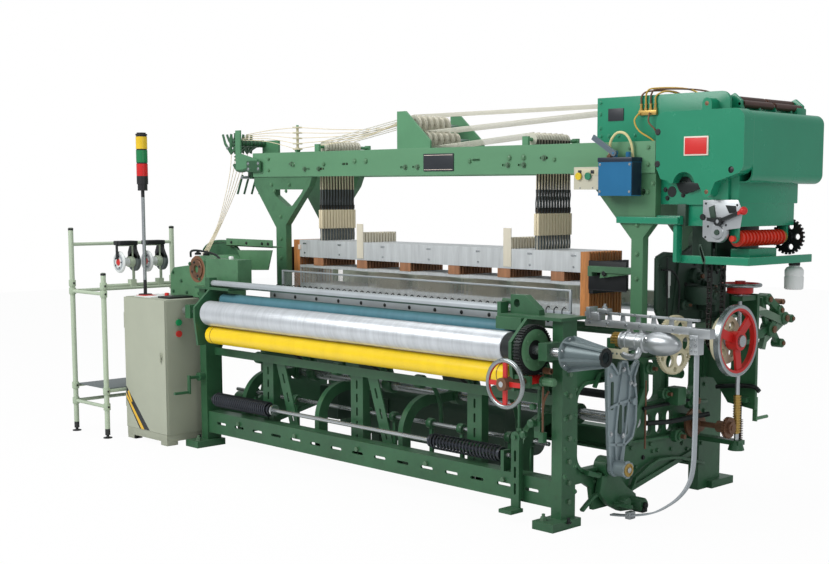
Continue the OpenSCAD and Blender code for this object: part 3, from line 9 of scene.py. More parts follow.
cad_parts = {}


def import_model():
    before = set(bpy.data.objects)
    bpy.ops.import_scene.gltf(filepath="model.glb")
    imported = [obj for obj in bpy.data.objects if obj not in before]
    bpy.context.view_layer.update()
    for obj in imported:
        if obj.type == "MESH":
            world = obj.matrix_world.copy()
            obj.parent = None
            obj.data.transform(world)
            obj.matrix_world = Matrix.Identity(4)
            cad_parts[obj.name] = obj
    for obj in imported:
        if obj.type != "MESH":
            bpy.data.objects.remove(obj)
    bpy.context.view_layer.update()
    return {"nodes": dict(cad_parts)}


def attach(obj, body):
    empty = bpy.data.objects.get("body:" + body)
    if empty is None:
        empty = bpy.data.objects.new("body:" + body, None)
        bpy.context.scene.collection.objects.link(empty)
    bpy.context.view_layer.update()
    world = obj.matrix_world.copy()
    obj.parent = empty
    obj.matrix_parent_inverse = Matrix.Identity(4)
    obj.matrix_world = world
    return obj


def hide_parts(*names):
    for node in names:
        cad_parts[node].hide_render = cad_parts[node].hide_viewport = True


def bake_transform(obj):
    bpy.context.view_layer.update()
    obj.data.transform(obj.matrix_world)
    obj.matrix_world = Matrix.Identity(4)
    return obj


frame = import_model()
random.seed(7)
scene = bpy.context.scene

MM = 0.001
WHITE_LIGHT = (1.0, 1.0, 1.0, 1.0)
CAMERA_AT = (5.2837, -5.1807, 1.55)
CAMERA_YAW, CAMERA_PITCH, CAMERA_ROLL = math.radians(43.78), math.radians(6.52), math.radians(0.18)
LENS_MM = 56.5
SHARP_DEGREES = 38
SHIFT_X, SHIFT_Y = -0.0814, 0.0724
SKY_COLOR, SKY_STRENGTH = (0.93, 0.97, 1.0, 1.0), 0.5
FLOOR_HALF_M = 14.0
FLOOR_SEEN_PALE = 0.965

# Axes, centres and radii that several pieces share, in millimetres.
TAKEUP_Y, TAKEUP_Z = -715, 834
RAPIER_AT = (0, -300, 0)
SWING_Y, SWING_Z = -330, 250
SLEY_Y, SLEY_Z = -120, 440
HEALD_Y, HEALD_PITCH = -38, 23
LETOFF_X, LETOFF_Y = 1722, 400
FEEDER_X, FEEDER_Z = -2075, 1110
FEEDER_A_Y, FEEDER_B_Y = -745, -545
HOSE_RADIUS, CORD_RADIUS = 6.5, 2.2


# ---------------------------------------------------------------- camera, light and floor
def camera():
    data = bpy.data.cameras.new("camera")
    data.lens = LENS_MM
    data.sensor_width = 36.0
    data.shift_x, data.shift_y = SHIFT_X, SHIFT_Y
    data.clip_end = 60.0
    cam = bpy.data.objects.new("camera", data)
    scene.collection.objects.link(cam)
    sy, cy, sp, cp = (f(v) for v in (CAMERA_YAW, CAMERA_PITCH) for f in (math.sin, math.cos))
    ahead = Vector((-sy * cp, cy * cp, -sp))
    right = Vector((cy, sy, 0.0))
    up = right.cross(ahead)
    cr, sr = math.cos(CAMERA_ROLL), math.sin(CAMERA_ROLL)
    turn = Matrix((cr * right + sr * up, -sr * right + cr * up, -ahead)).transposed().to_4x4()
    cam.matrix_world = Matrix.Translation(CAMERA_AT) @ turn
    scene.camera = cam


def lit_and_seen(tree, out, lit, seen, share=None):
    """The first shader lights the object; the camera sees the second one, or that share of it."""
    tree.nodes.clear()
    end, mix, a, b, path = (tree.nodes.new("ShaderNode" + kind)
                            for kind in (out, "MixShader", lit[0], seen[0], "LightPath"))
    for node, values in ((a, lit[1]), (b, seen[1])):
        for key, value in values.items():
            node.inputs[key].default_value = value
    ray = path.outputs["Is Camera Ray"]
    if share:
        part = tree.nodes.new("ShaderNodeMath")
        part.operation = "MULTIPLY"
        part.inputs[1].default_value = share
        tree.links.new(ray, part.inputs[0])
        ray = part.outputs[0]
    for k, output in enumerate((ray, a.outputs[0], b.outputs[0])):
        tree.links.new(output, mix.inputs[k])
    tree.links.new(mix.outputs[0], end.inputs[0])


def world():
    w = bpy.data.worlds.new("studio")
    scene.world = w
    w.use_nodes = True
    lit_and_seen(w.node_tree, "OutputWorld", ("Background", {"Color": SKY_COLOR, "Strength": SKY_STRENGTH}),
                 ("Background", {"Color": WHITE_LIGHT, "Strength": 1.0}))


def area(name, place, target, size, power):
    data = bpy.data.lights.new(name, "AREA")
    data.shape = "RECTANGLE"
    data.size, data.size_y = size
    data.energy = power
    lamp = bpy.data.objects.new(name, data)
    scene.collection.objects.link(lamp)
    lamp.location = place
    aim = Vector(target) - Vector(place)
    lamp.rotation_euler = aim.to_track_quat("-Z", "Y").to_euler()


def floor():
    me = bpy.data.meshes.new("floor")
    s = FLOOR_HALF_M
    me.from_pydata([(-s, -s, 0), (s, -s, 0), (s, s, 0), (-s, s, 0)], [], [(0, 1, 2, 3)])
    o = bpy.data.objects.new("floor", me)
    scene.collection.objects.link(o)
    m = bpy.data.materials.new("floor")
    m.use_nodes = True
    lit_and_seen(m.node_tree, "OutputMaterial", ("BsdfDiffuse", {"Color": (0.8, 0.8, 0.8, 1.0)}),
                 ("Emission", {"Color": WHITE_LIGHT}), FLOOR_SEEN_PALE)
    me.materials.append(m)


camera()
world()
area("key", (-1.5, -6.0, 5.2), (0.0, 0.0, 0.9), (5.0, 3.0), 330.0)
area("side", (6.0, -1.5, 3.6), (0.8, 0.0, 0.9), (3.0, 3.0), 42.0)
area("top", (0.0, 0.5, 6.0), (0.0, 0.0, 0.5), (5.0, 4.0), 120.0)
scene.view_settings.view_transform = "Standard"
floor()


# ---------------------------------------------------------------- materials
def srgb(*c):
    out = []
    for v in c:
        v = v / 255.0
        out.append(v / 12.92 if v <= 0.04045 else ((v + 0.055) / 1.055) ** 2.4)
    return tuple(out) + (1.0,)


# One finish: colour, roughness, metal, and how much it varies, wears, gathers dust and flecks.
Style = namedtuple("Style", "rgb rough metal vary wear worn dust dusty grain fleck flecked", defaults=(
    0.5, 0.0, 0.16, 0.0, (170, 175, 170), 0.0, (150, 150, 140), 0.15, 0.0, (40, 40, 36)))


def shade(style, rgb, **changes):
    return style._replace(rgb=rgb, **changes)


class Net:
    """Builds a node material from styles and masks in the object's own coordinates, in millimetres."""

    def __init__(self, name, stretch=(1, 1, 1), coarse=3.0, fine=160.0):
        self.m = bpy.data.materials.new(name)
        self.m.use_nodes = True
        self.t = self.m.node_tree
        self.b = self.t.nodes["Principled BSDF"]
        tex = self.new("TexCoord")
        self.xyz = self.new("SeparateXYZ", (0, tex["Object"]))
        self.up = self.ramp(self.new("SeparateXYZ", (0, tex["Normal"]))[2], 0.55, 0.98)
        place = self.new("Mapping", ("Scale", stretch), (0, tex["Object"]))[0]
        self.coarse = self.noise(place, coarse, 6.0, 0.62)
        self.fine = self.noise(place, fine, 3.0, 0.6)
        self.blot = self.ramp(self.noise(place, coarse * 6.0, 8.0, 0.7), 0.52, 0.72)
        round_normal = self.new("Bevel", ("Radius", 0.0035), samples=4)[0]
        flat_normal = self.new("NewGeometry")["Normal"]
        dot = self.new("VectorMath", (0, round_normal), (1, flat_normal), operation="DOT_PRODUCT")["Value"]
        self.edge = self.math("MULTIPLY", self.ramp(dot, 0.985, 0.80), self.ramp(self.coarse, 0.35, 0.6))

    def put(self, v, socket):
        if isinstance(v, (int, float, tuple)):
            socket.default_value = v
        else:
            self.t.links.new(v, socket)

    def new(self, kind, *inputs, **settings):
        """The outputs of a new node; inputs are pairs of a socket and a value or an output."""
        n = self.t.nodes.new("ShaderNode" + kind)
        for key, value in settings.items():
            setattr(n, key, value)
        for socket, value in inputs:
            self.put(value, n.inputs[socket])
        return n.outputs

    def noise(self, vector, scale, detail, rough):
        return self.new("TexNoise", ("Scale", scale), ("Detail", detail), ("Roughness", rough), ("Vector", vector))[0]

    def ramp(self, value, lo, hi):
        return self.new("MapRange", (1, lo), (2, hi), (3, 0.0), (4, 1.0), (0, value), clamp=True)[0]

    def math(self, op, *values):
        return self.new("Math", *enumerate(values), operation=op)[0]

    def mix(self, fac, a, b):
        return self.new("Mix", (0, fac), (6, a), (7, b), data_type="RGBA")[2]

    def blend(self, fac, a, b):
        return self.new("Mix", (0, fac), (2, a), (3, b), data_type="FLOAT")[0]

    def tint(self, s):
        c = srgb(*s.rgb)
        low = tuple(v * (1.0 - s.vary) for v in c[:3]) + (1.0,)
        high = tuple(min(v * (1.0 + s.vary), 0.95) for v in c[:3]) + (1.0,)
        col = self.mix(self.ramp(self.coarse, 0.3, 0.7), low, high)
        for where, share, rgb in ((self.blot, s.fleck, s.flecked), (self.up, s.dust, s.dusty),
                                  (self.edge, s.wear, s.worn)):
            if share:
                col = self.mix(self.math("MULTIPLY", where, share), col, srgb(*rgb))
        return col

    def inside(self, cond):
        """1 where a coordinate, or for r the distance from an axis through a and b, is between two bounds."""
        kind, *v = cond.split()
        if kind == "r":
            axis, a, b, *v = v
            p, q = [self.xyz[k] for k in range(3) if "xyz"[k] != axis]
            da = self.math("SUBTRACT", p, float(a) * MM)
            db = self.math("SUBTRACT", q, float(b) * MM)
            sq = self.math("ADD", self.math("MULTIPLY", da, da), self.math("MULTIPLY", db, db))
            value = self.math("SQRT", sq)
        else:
            value = self.xyz["xyz".index(kind)]
        out = None
        for op, bound in zip(("GREATER_THAN", "LESS_THAN"), v):
            if bound != "*":
                test = self.math(op, value, float(bound) * MM)
                out = test if out is None else self.math("MULTIPLY", out, test)
        return out

    def mask(self, zone):
        """Boxes parted by ; of conditions joined by &, where * leaves a side open."""
        total = None
        for box in zone.split(";"):
            part = None
            for cond in box.split("&"):
                c = self.inside(cond)
                part = c if part is None else self.math("MULTIPLY", part, c)
            total = part if total is None else self.math("MAXIMUM", total, part)
        return total

    def finish(self, base, zones):
        col, values = self.tint(base), [base.rough, base.metal, base.grain]
        mixed = False
        for style, zone in zones:
            k = self.mask(zone)
            col = self.mix(k, col, self.tint(style))
            for j, v in enumerate((style.rough, style.metal, style.grain)):
                if mixed or v != values[j]:
                    values[j] = self.blend(k, values[j], v)
            mixed = mixed or not isinstance(values[0], float)
        rough, metal, grain = values
        spread = self.blend(self.coarse, -0.07, 0.07)
        bump = self.new("Bump", ("Distance", MM), ("Strength", grain), ("Height", self.fine))[0]
        for v, socket in ((col, "Base Color"), (self.math("ADD", rough, spread), "Roughness"), (metal, "Metallic"),
                          (bump, "Normal")):
            self.put(v, self.b.inputs[socket])
        return self.m


def paint(name, base, *zones, **scales):
    return Net(name, **scales).finish(base, zones)


def use(mat, *names):
    for name in names:
        for s in frame["nodes"][name].material_slots:
            s.material = mat


def dress(node, base, *zones, **scales):
    use(paint(node, base, *zones, **scales), node)


CAST = Style((46, 92, 60), 0.38, 0.0, 0.22, 0.35, (120, 150, 125), 0.25, (96, 122, 100), 0.35, 0.25, (30, 46, 34))
BEAM = Style((92, 142, 105), 0.40, 0.0, 0.10, 0.30, (150, 180, 155), 0.2, (130, 165, 140), 0.25)
DOBBY = Style((30, 134, 100), 0.26, 0.0, 0.09, 0.35, (130, 180, 155), 0.1, (120, 170, 150), 0.2)
# Painted shade: a dark green that stands in for shade inside housings, recesses and openings.
PAINTED_SHADE_GREEN = Style((34, 58, 44), 0.5, 0.0, 0.2, 0.3, (90, 110, 95), 0.3, (70, 85, 72), 0.3)
IRON = Style((44, 48, 48), 0.45, 0.7, 0.25, 0.5, (130, 132, 130), 0.2, (80, 84, 78), 0.3, 0.2, (60, 44, 30))
BLACK = Style((24, 26, 28), 0.4, 0.0, 0.2, 0.3, (90, 92, 94), 0.2, (60, 62, 60), 0.2)
STEEL = Style((186, 190, 192), 0.27, 0.9, 0.1, 0.2, (230, 232, 232), 0.0, (190, 190, 186), 0.12)
SILVER = Style((176, 182, 186), 0.42, 0.45, 0.12, 0.3, (226, 230, 232), 0.1, (196, 198, 194), 0.3)
GREYPAINT = Style((112, 124, 130), 0.4, 0.25, 0.12, 0.5, (186, 194, 198), 0.15, (140, 148, 148), 0.3)
ALLOY = Style((178, 182, 184), 0.32, 0.75, 0.12, 0.3, (236, 238, 240), 0.0, (196, 198, 194), 0.25)
RED = Style((196, 34, 30), 0.35, 0.0, 0.12, 0.25, (120, 30, 28), 0.12, (190, 120, 110), 0.2)
CREAM = Style((206, 200, 170), 0.5, 0.0, 0.08, 0.35, (150, 140, 110), 0.05, (216, 212, 190), 0.25)
COPPER = Style((112, 82, 62), 0.42, 0.5, 0.25, 0.5, (190, 130, 90), 0.1, (90, 70, 54), 0.3, 0.4, (44, 34, 28))
BRASS = Style((186, 154, 84), 0.38, 0.7, 0.2, 0.4, (226, 204, 150), 0.1, (150, 130, 90), 0.3, 0.2, (80, 60, 34))
WOOD = Style((196, 132, 74), 0.5, 0.0, 0.3, 0.2, (226, 178, 124), 0.1, (214, 168, 120), 0.3, 0.35, (126, 74, 40))
BAND = Style((214, 210, 196), 0.75, 0.0, 0.08, 0.1, (190, 186, 170), 0.05, (226, 222, 210), 0.5)
WHITE = Style((226, 228, 226), 0.45, 0.0, 0.05, 0.15, (200, 200, 196), 0.05, (236, 236, 232), 0.2)
CABINET = Style((160, 164, 146), 0.55, 0.0, 0.05, 0.2, (190, 194, 178), 0.12, (190, 194, 184), 0.35)
PLASTIC = Style((60, 62, 62), 0.4, 0.0, 0.08, 0.1, (120, 120, 120), 0.1, (120, 120, 116), 0.15)
STAVE = Style((200, 132, 74), 0.5, 0.0, 0.34, 0.2, (226, 178, 124), 0.1, (214, 168, 120), 0.3, 0.5, (120, 66, 34))

cast = paint("cast_green", CAST)
light_cast = paint("cast_green_light", shade(CAST, (84, 128, 92)))
dobby_paint = paint("dobby_green", DOBBY, coarse=2.0)
iron = paint("dark_iron", IRON)
steel = paint("bright_steel", STEEL)
silver = paint("silver_paint", SILVER)
alloy = paint("cast_alloy", ALLOY, coarse=5.0)
red = paint("red_enamel", RED)
cream = paint("cream_paint", CREAM)
white = paint("white_plastic", WHITE)
cabinet = paint("cabinet_paint", CABINET, fine=500.0)
# Painted shade material: the dark green put where the insides of housings and recesses lie in shade.
painted_shade_inside = paint("painted_shade_inside", shade(PAINTED_SHADE_GREEN, (46, 70, 56)))
black = paint("black_parts", BLACK)
brass = paint("brass_parts", BRASS)
copper = paint("copper_parts", COPPER)
cord_look = paint("cord_look", shade(BAND, (226, 212, 180)), fine=400.0)
rope_look = paint("rope_look", shade(IRON, (84, 92, 94), rough=0.6, metal=0.2), fine=400.0)
pale_tube = paint("pale_tube", shade(WHITE, (216, 206, 150), rough=0.3))
yellow_tube = paint("yellow_tube", shade(BRASS, (196, 160, 66), metal=0.4))
plate_red = paint("plate_red", shade(RED, (206, 36, 32)))
plate_pale = paint("plate_pale", shade(WHITE, (232, 214, 200)))
plate_dark = paint("plate_dark", shade(BLACK, (34, 38, 44)))
roller_dark = paint("roller_dark", shade(COPPER, (74, 44, 34), metal=0.2, rough=0.35), stretch=(1, 5, 1))

# Looks of the carried-over CAD nodes; a zone says where on the node its style lies.
use(cast, "side_frame_right", "side_frame_left", "lower_girders", "curved_brackets", "foot_lever", "start_lever",
    "left_crank", "letoff_case", "front_brackets")
use(light_cast, "right_crank")
use(iron, "takeup_gear", "upper_chain_wheel")
use(dobby_paint, "dobby_side_cover")
use(cabinet, "cabinet_body")
dress("top_beams", BEAM, stretch=(0.3, 1, 1))
dress("bolts", shade(CAST, (76, 110, 82), wear=0.7, worn=(150, 160, 146)))
dress("arches", shade(CAST, (72, 118, 84)), (shade(BEAM, (76, 124, 88)), "x 1400 *"))
dress("breast_beam", SILVER, (shade(CAST, (86, 104, 92), metal=0.2), "z 970 996"))
dress("press_roller", shade(BEAM, (78, 128, 142), rough=0.45), (STEEL, "r x -605 907 * 20"), stretch=(8, 1, 1))
dress("cloth_roller", shade(RED, (244, 206, 16), rough=0.3, vary=0.06, worn=(190, 160, 40), dusty=(246, 220, 90)),
      (STEEL, "r x -700 703 * 20"), (shade(COPPER, (130, 90, 50)), "x -1206 -1200; x 1130 1136"),
      stretch=(4, 1, 1))
dress("front_handwheel", RED, (shade(STEEL, (150, 156, 156)), "r y 1327.5 694 97 *"),
      (COPPER, "r y 1327.5 694 * 30 & y * -745"), (STEEL, "r y 1327.5 694 * 13"))
dress("spring_rod", STEEL, (shade(IRON, (62, 66, 74), rough=0.4), "x -1360 -790; x 540 1060"))
for n in ("heald_frames_odd", "heald_frames_even"):
    dress(n, shade(SILVER, (214, 217, 218), rough=0.38, metal=0.35), (STAVE, "x * -1231; x 1056 *"),
          (shade(WOOD, (168, 118, 84)), "z 1100 1149 & x -1231 1056"),
          (shade(WHITE, (224, 216, 196)), "z 1257 *; y * -45.5"), stretch=(6, 6, 0.7), coarse=6.0, fine=120.0)
for n in ("harness_odd", "harness_even"):
    dress(n, shade(IRON, (70, 68, 62), rough=0.5), (shade(CREAM, (220, 214, 196)), "z 1256 1339"),
          (shade(IRON, (92, 84, 74)), "z 1339 1471"))
dress("beam_fittings", shade(BEAM, (84, 138, 100)), (BLACK, "z 1045 1212"),
      (shade(CAST, (70, 112, 80)), "z 1139 1191 & y * -57; z 1139 1191 & x * -1323.5"),
      (CREAM, "r z -1180 -92 * 32 & z 1814 1956"),
      (STEEL, "r y -190 1937 * 12.5 & y -97 317; r y -100 1852 * 12.5 & y -97 317"))
dress("pulleys", shade(CREAM, (212, 208, 192)))
dress("lift_bands", BAND, stretch=(1, 40, 1), fine=60.0)
dress("crankshaft", STEEL, (CAST, "x * 1480"), (CREAM, "x 1760 1800 & r x 190 845 34 *"), (IRON, "x 1700 1740"))
dress("drive_handwheel", RED, (shade(STEEL, (170, 176, 178)), "r x 190 845 158 *"), (IRON, "r x 190 845 * 30"))
dress("drive_chain", shade(IRON, (40, 38, 36), rough=0.38))
dress("rapier_wheel", shade(CREAM, (212, 204, 172)), (IRON, "r x -10 823 * 24"))
dress("letoff_handwheel", RED, (STEEL, "r z 1722 400 * 14"), (shade(STEEL, (150, 156, 156)), "r z 1722 400 99 *"),
      (BRASS, "z 345 545"))
dress("letoff_wormwheel", COPPER)
dress("back_rest", shade(CAST, (96, 122, 100)), (shade(BEAM, (176, 186, 172)), "z 955 1032"))
dress("dobby_front_cover", DOBBY, (shade(COPPER, (150, 110, 84)), "r y 1859 1560 * 10.5; r y 1852 1962 * 10.5"),
      (BLACK, "r y 1990 1660 * 15.2; r y 1572 1690 * 11.2; r y 1572 1840 * 11.2"), coarse=2.0)
dress("dobby_drum", shade(RED, (214, 52, 30)), (shade(BRASS, (180, 150, 60)), "y 384 402"), (BLACK, "y 402 *"))
dress("dobby_lever", IRON, (RED, "x 2006 *"))
dress("oil_pump", shade(DOBBY, (20, 104, 150), rough=0.3),
      (shade(BRASS, (214, 120, 50), metal=0.0), "x 1290 1346 & z 1720.5 *"))
dress("pump_handle", shade(GREYPAINT, (92, 106, 116)))
dress("back_roller", STEEL, stretch=(10, 1, 1))
# Below 420 mm the drive cases take a darker green, painted shade low down near the floor.
dress("drive_cases", shade(CAST, (78, 124, 88)),
      (shade(COPPER, (128, 88, 62), metal=0.2), "r y -1544 1080 * 83 & y * -598"),
      (shade(CAST, (44, 72, 54)), "z * 420"))
dress("button_box", shade(CABINET, (196, 192, 172)))
for n, rgb in (("yellow_button", (226, 196, 40)), ("green_button", (40, 130, 96)), ("start_button", (30, 150, 90)),
               ("stop_button", (206, 56, 50)), ("breaker_toggle", (30, 36, 44))):
    dress(n, shade(PLASTIC, rgb))
dress("cabinet_door", shade(CABINET, (170, 174, 156)), fine=500.0)
dress("signal_tower", STEEL, (shade(PLASTIC, (30, 30, 32)), "z 1520 *"),
      (shade(PLASTIC, (226, 188, 40), rough=0.25), "z 1819 1895"),
      (shade(PLASTIC, (26, 120, 70), rough=0.25), "z 1735 1811"),
      (shade(PLASTIC, (200, 34, 34), rough=0.25), "z 1651 1727"), (shade(PLASTIC, (30, 30, 32)), "z * 1000"))
dress("weft_creel", shade(CABINET, (178, 192, 168)), (shade(PLASTIC, (40, 42, 42)), "z * 60"))
for n in ("feeder_disc_a", "feeder_disc_b"):
    dress(n, shade(WHITE, (212, 216, 214)))


# ---------------------------------------------------------------- mesh helpers, in millimetres
AXES = {"x": (Vector((1, 0, 0)), Vector((0, 1, 0)), Vector((0, 0, 1))),
        "y": (Vector((0, 1, 0)), Vector((0, 0, 1)), Vector((1, 0, 0))),
        "z": (Vector((0, 0, 1)), Vector((1, 0, 0)), Vector((0, 1, 0)))}
PLANE = {"x": (1, 2, 0), "y": (0, 2, 1), "z": (0, 1, 2)}


def curve(points, steps=8):
    """A smooth path through the points."""
    p = [Vector(v) for v in points]
    out = []
    for k in range(len(p) - 1):
        a, b = p[max(k - 1, 0)], p[k]
        c, d = p[k + 1], p[min(k + 2, len(p) - 1)]
        for j in range(steps):
            t = j / steps
            out.append(0.5 * (2 * b + (c - a) * t + (2 * a - 5 * b + 4 * c - d) * t * t
                              + (3 * b - a - 3 * c + d) * t ** 3))
    out.append(p[-1])
    return out


def arc(cx, cy, r, a0, a1, n=6):
    """Points of an arc, in degrees."""
    return [(cx + r * math.cos(math.radians(a0 + (a1 - a0) * k / n)),
             cy + r * math.sin(math.radians(a0 + (a1 - a0) * k / n))) for k in range(n + 1)]


def ring(n, start=0.0):
    """The cosine and sine of n even steps round a circle."""
    return [(math.cos(t), math.sin(t)) for t in (2 * math.pi * k / n + start for k in range(n))]


def along(points, k):
    """The direction of a path at its point k."""
    return (points[min(k + 1, len(points) - 1)] - points[max(k - 1, 0)]).normalized()


def pairs(numbers):
    return list(zip(numbers[::2], numbers[1::2]))


def xs(*values):
    return [(x, 0, 0) for x in values]


def ys(*values):
    return [(0, y, 0) for y in values]


class Part:
    """Collects shapes into one mesh, each with its own material index."""

    def __init__(self):
        self.bm = bmesh.new()

    def faces(self, verts, faces, m=0):
        vs = [self.bm.verts.new(v) for v in verts]
        for f in faces:
            face = self.bm.faces.new([vs[k] for k in f])
            face.material_index = m
            face.smooth = True

    def take(self, b, m, bev):
        if bev:
            bmesh.ops.bevel(b, geom=list(b.edges), offset=bev, segments=2, affect="EDGES", profile=0.6)
        b.verts.index_update()
        self.faces([v.co.copy() for v in b.verts], [[v.index for v in f.verts] for f in b.faces], m)
        b.free()

    def box(self, lo, hi, m=0, bev=1.5):
        b = bmesh.new()
        bmesh.ops.create_cube(b, size=1.0)
        for v in b.verts:
            v.co = Vector([lo[k] + (v.co[k] + 0.5) * (hi[k] - lo[k]) for k in range(3)])
        self.take(b, m, bev)

    def prism(self, poly, axis, lo, hi, m=0, bev=0.0):
        a, p, q = AXES[axis]
        if axis == "y":
            p, q = q, p
        b = bmesh.new()
        low, high = ([b.verts.new(p * u + q * v + a * level) for u, v in poly] for level in (lo, hi))
        n = len(poly)
        b.faces.new(low)
        b.faces.new(high)
        for k in range(n):
            b.faces.new([low[k], low[(k + 1) % n], high[(k + 1) % n], high[k]])
        bmesh.ops.recalc_face_normals(b, faces=list(b.faces))
        self.take(b, m, bev)

    def strip(self, points, width, lo, hi, m):
        """A flat rounded bar along points in the plane across X."""
        pts = [Vector(q) for q in points]
        sides = [Vector((-d.y, d.x)) * width * 0.5 for d in (along(pts, k) for k in range(len(pts)))]
        edge = [q + n for q, n in zip(pts, sides)] + [q - n for q, n in zip(pts, sides)][::-1]
        self.prism([(v.x, v.y) for v in edge], "x", lo, hi, m, min(width, hi - lo) * 0.18)

    def rim(self, outline, width, lo, hi, m):
        """Flat bars along the sides of an outline."""
        for a, b in zip(outline, outline[1:] + outline[:1]):
            self.strip([a, b], width, lo, hi, m)

    def lathe(self, base, axis, profile, n=28, m=0, start=0.0):
        a, p, q = AXES[axis]
        base = Vector(base)
        verts, faces, rings = [], [], []
        for r, h in profile:
            count = 1 if r < 1e-6 else n
            rings.append(list(range(len(verts), len(verts) + count)))
            for k in range(count):
                t = start + 2 * math.pi * k / n
                verts.append(base + a * h + (p * math.cos(t) + q * math.sin(t)) * r if count > 1 else base + a * h)
        for low, high in zip(rings, rings[1:]):
            for k in range(n):
                j = (k + 1) % n
                if len(low) == 1 and len(high) == 1:
                    continue
                if len(low) == 1:
                    faces.append([low[0], high[j], high[k]])
                elif len(high) == 1:
                    faces.append([low[k], low[j], high[0]])
                else:
                    faces.append([low[k], low[j], high[j], high[k]])
        self.faces(verts, faces, m)

    def turn(self, base, axis, steps, n=28, m=0):
        """A lathe closed by flat ends."""
        self.lathe(base, axis, [(0, steps[0][1]), *steps, (0, steps[-1][1])], n, m)

    def bolt(self, p, axis, r=9, h=7, m=0, s=1):
        """A washer and a domed hexagon head, standing out of p along the axis, or against it where s is -1."""
        self.turn(p, axis, [(r * 1.35, 0), (r * 1.35, s * 1.6), (r, s * 1.6)], 18, m)
        self.lathe(p, axis, [(0, s * 1.5), (r, s * 1.5), (r, s * (h - 1.6)), (r * 0.82, s * h), (0, s * (h + 0.4))],
                   6, m, start=random.random())

    def tube(self, pts, r, m=0, n=8):
        pts = [Vector(p) for p in pts]
        rings, verts, faces = [], [], []
        normal = None
        for k, p in enumerate(pts):
            d = along(pts, k)
            if normal is None:
                normal = d.orthogonal().normalized()
            normal = (normal - d * normal.dot(d)).normalized()
            side = d.cross(normal)
            rings.append(len(verts))
            rr = r[k] if isinstance(r, list) else r
            verts += [p + (normal * c + side * s) * rr for c, s in ring(n)]
        for a, b in zip(rings, rings[1:]):
            for j in range(n):
                i = (j + 1) % n
                faces.append([a + j, a + i, b + i, b + j])
        faces.append([rings[0] + j for j in reversed(range(n))])
        faces.append([rings[-1] + j for j in range(n)])
        self.faces(verts, faces, m)

    def draw(self, table, *places):
        """Adds a table of shapes at each place, or at the origin. A row is a kind and its numbers:
        box: two corners, material, bevel
        turn, lathe: axis, base, sides, material, and the radius and height of each step
        prism: axis, from, to, material, bevel, and corners in the plane across the axis
        bolts: axis, level, radius, height, material, side, and places in that plane
        strip: from, to, material, width, and points in the plane across X
        tube, pipe: radius, material, sides, and points; a pipe is smooth"""
        rows = []
        for word in table.split():
            if word.isalpha() and word not in AXES:
                rows.append([word])
            else:
                rows[-1].append(word if word in AXES else float(word))
        for at, (kind, *v) in ((at, row) for at in places or [(0, 0, 0)] for row in rows):
            if kind == "box":
                lo, hi = ([v[k + j] + at[j] for j in range(3)] for k in (0, 3))
                self.box(lo, hi, int(v[6]), v[7])
            elif kind in ("turn", "lathe"):
                axis, x, y, z, n, m, *steps = v
                shape = self.turn if kind == "turn" else self.lathe
                shape((x + at[0], y + at[1], z + at[2]), axis, pairs(steps), int(n), int(m))
            elif kind == "prism":
                axis, lo, hi, m, bev, *uv = v
                i, j, k = PLANE[axis]
                poly = [(a + at[i], b + at[j]) for a, b in pairs(uv)]
                self.prism(poly, axis, lo + at[k], hi + at[k], int(m), bev)
            elif kind == "bolts":
                axis, level, r, h, m, s, *uv = v
                for a, b in pairs(uv):
                    place = dict(zip(PLANE[axis], (a, b, level)))
                    self.bolt([place[k] + at[k] for k in range(3)], axis, r, h, int(m), s)
            elif kind == "strip":
                lo, hi, m, width, *uv = v
                self.strip(pairs(uv), width, lo, hi, int(m))
            else:
                r, m, n, *xyz = v
                pts = [(x + at[0], y + at[1], z + at[2]) for x, y, z in zip(xyz[::3], xyz[1::3], xyz[2::3])]
                self.tube(pts if kind == "tube" else curve(pts), r, int(m), int(n))

    def make(self, name, body, mats, slot):
        bmesh.ops.recalc_face_normals(self.bm, faces=list(self.bm.faces))
        me = bpy.data.meshes.new(name)
        self.bm.to_mesh(me)
        self.bm.free()
        me.transform(Matrix.Scale(MM, 4))
        for m in mats:
            me.materials.append(m)
        me.set_sharp_from_angle(angle=math.radians(SHARP_DEGREES))
        o = bpy.data.objects.new(name, me)
        scene.collection.objects.link(o)
        if body:
            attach(o, body)
        return o


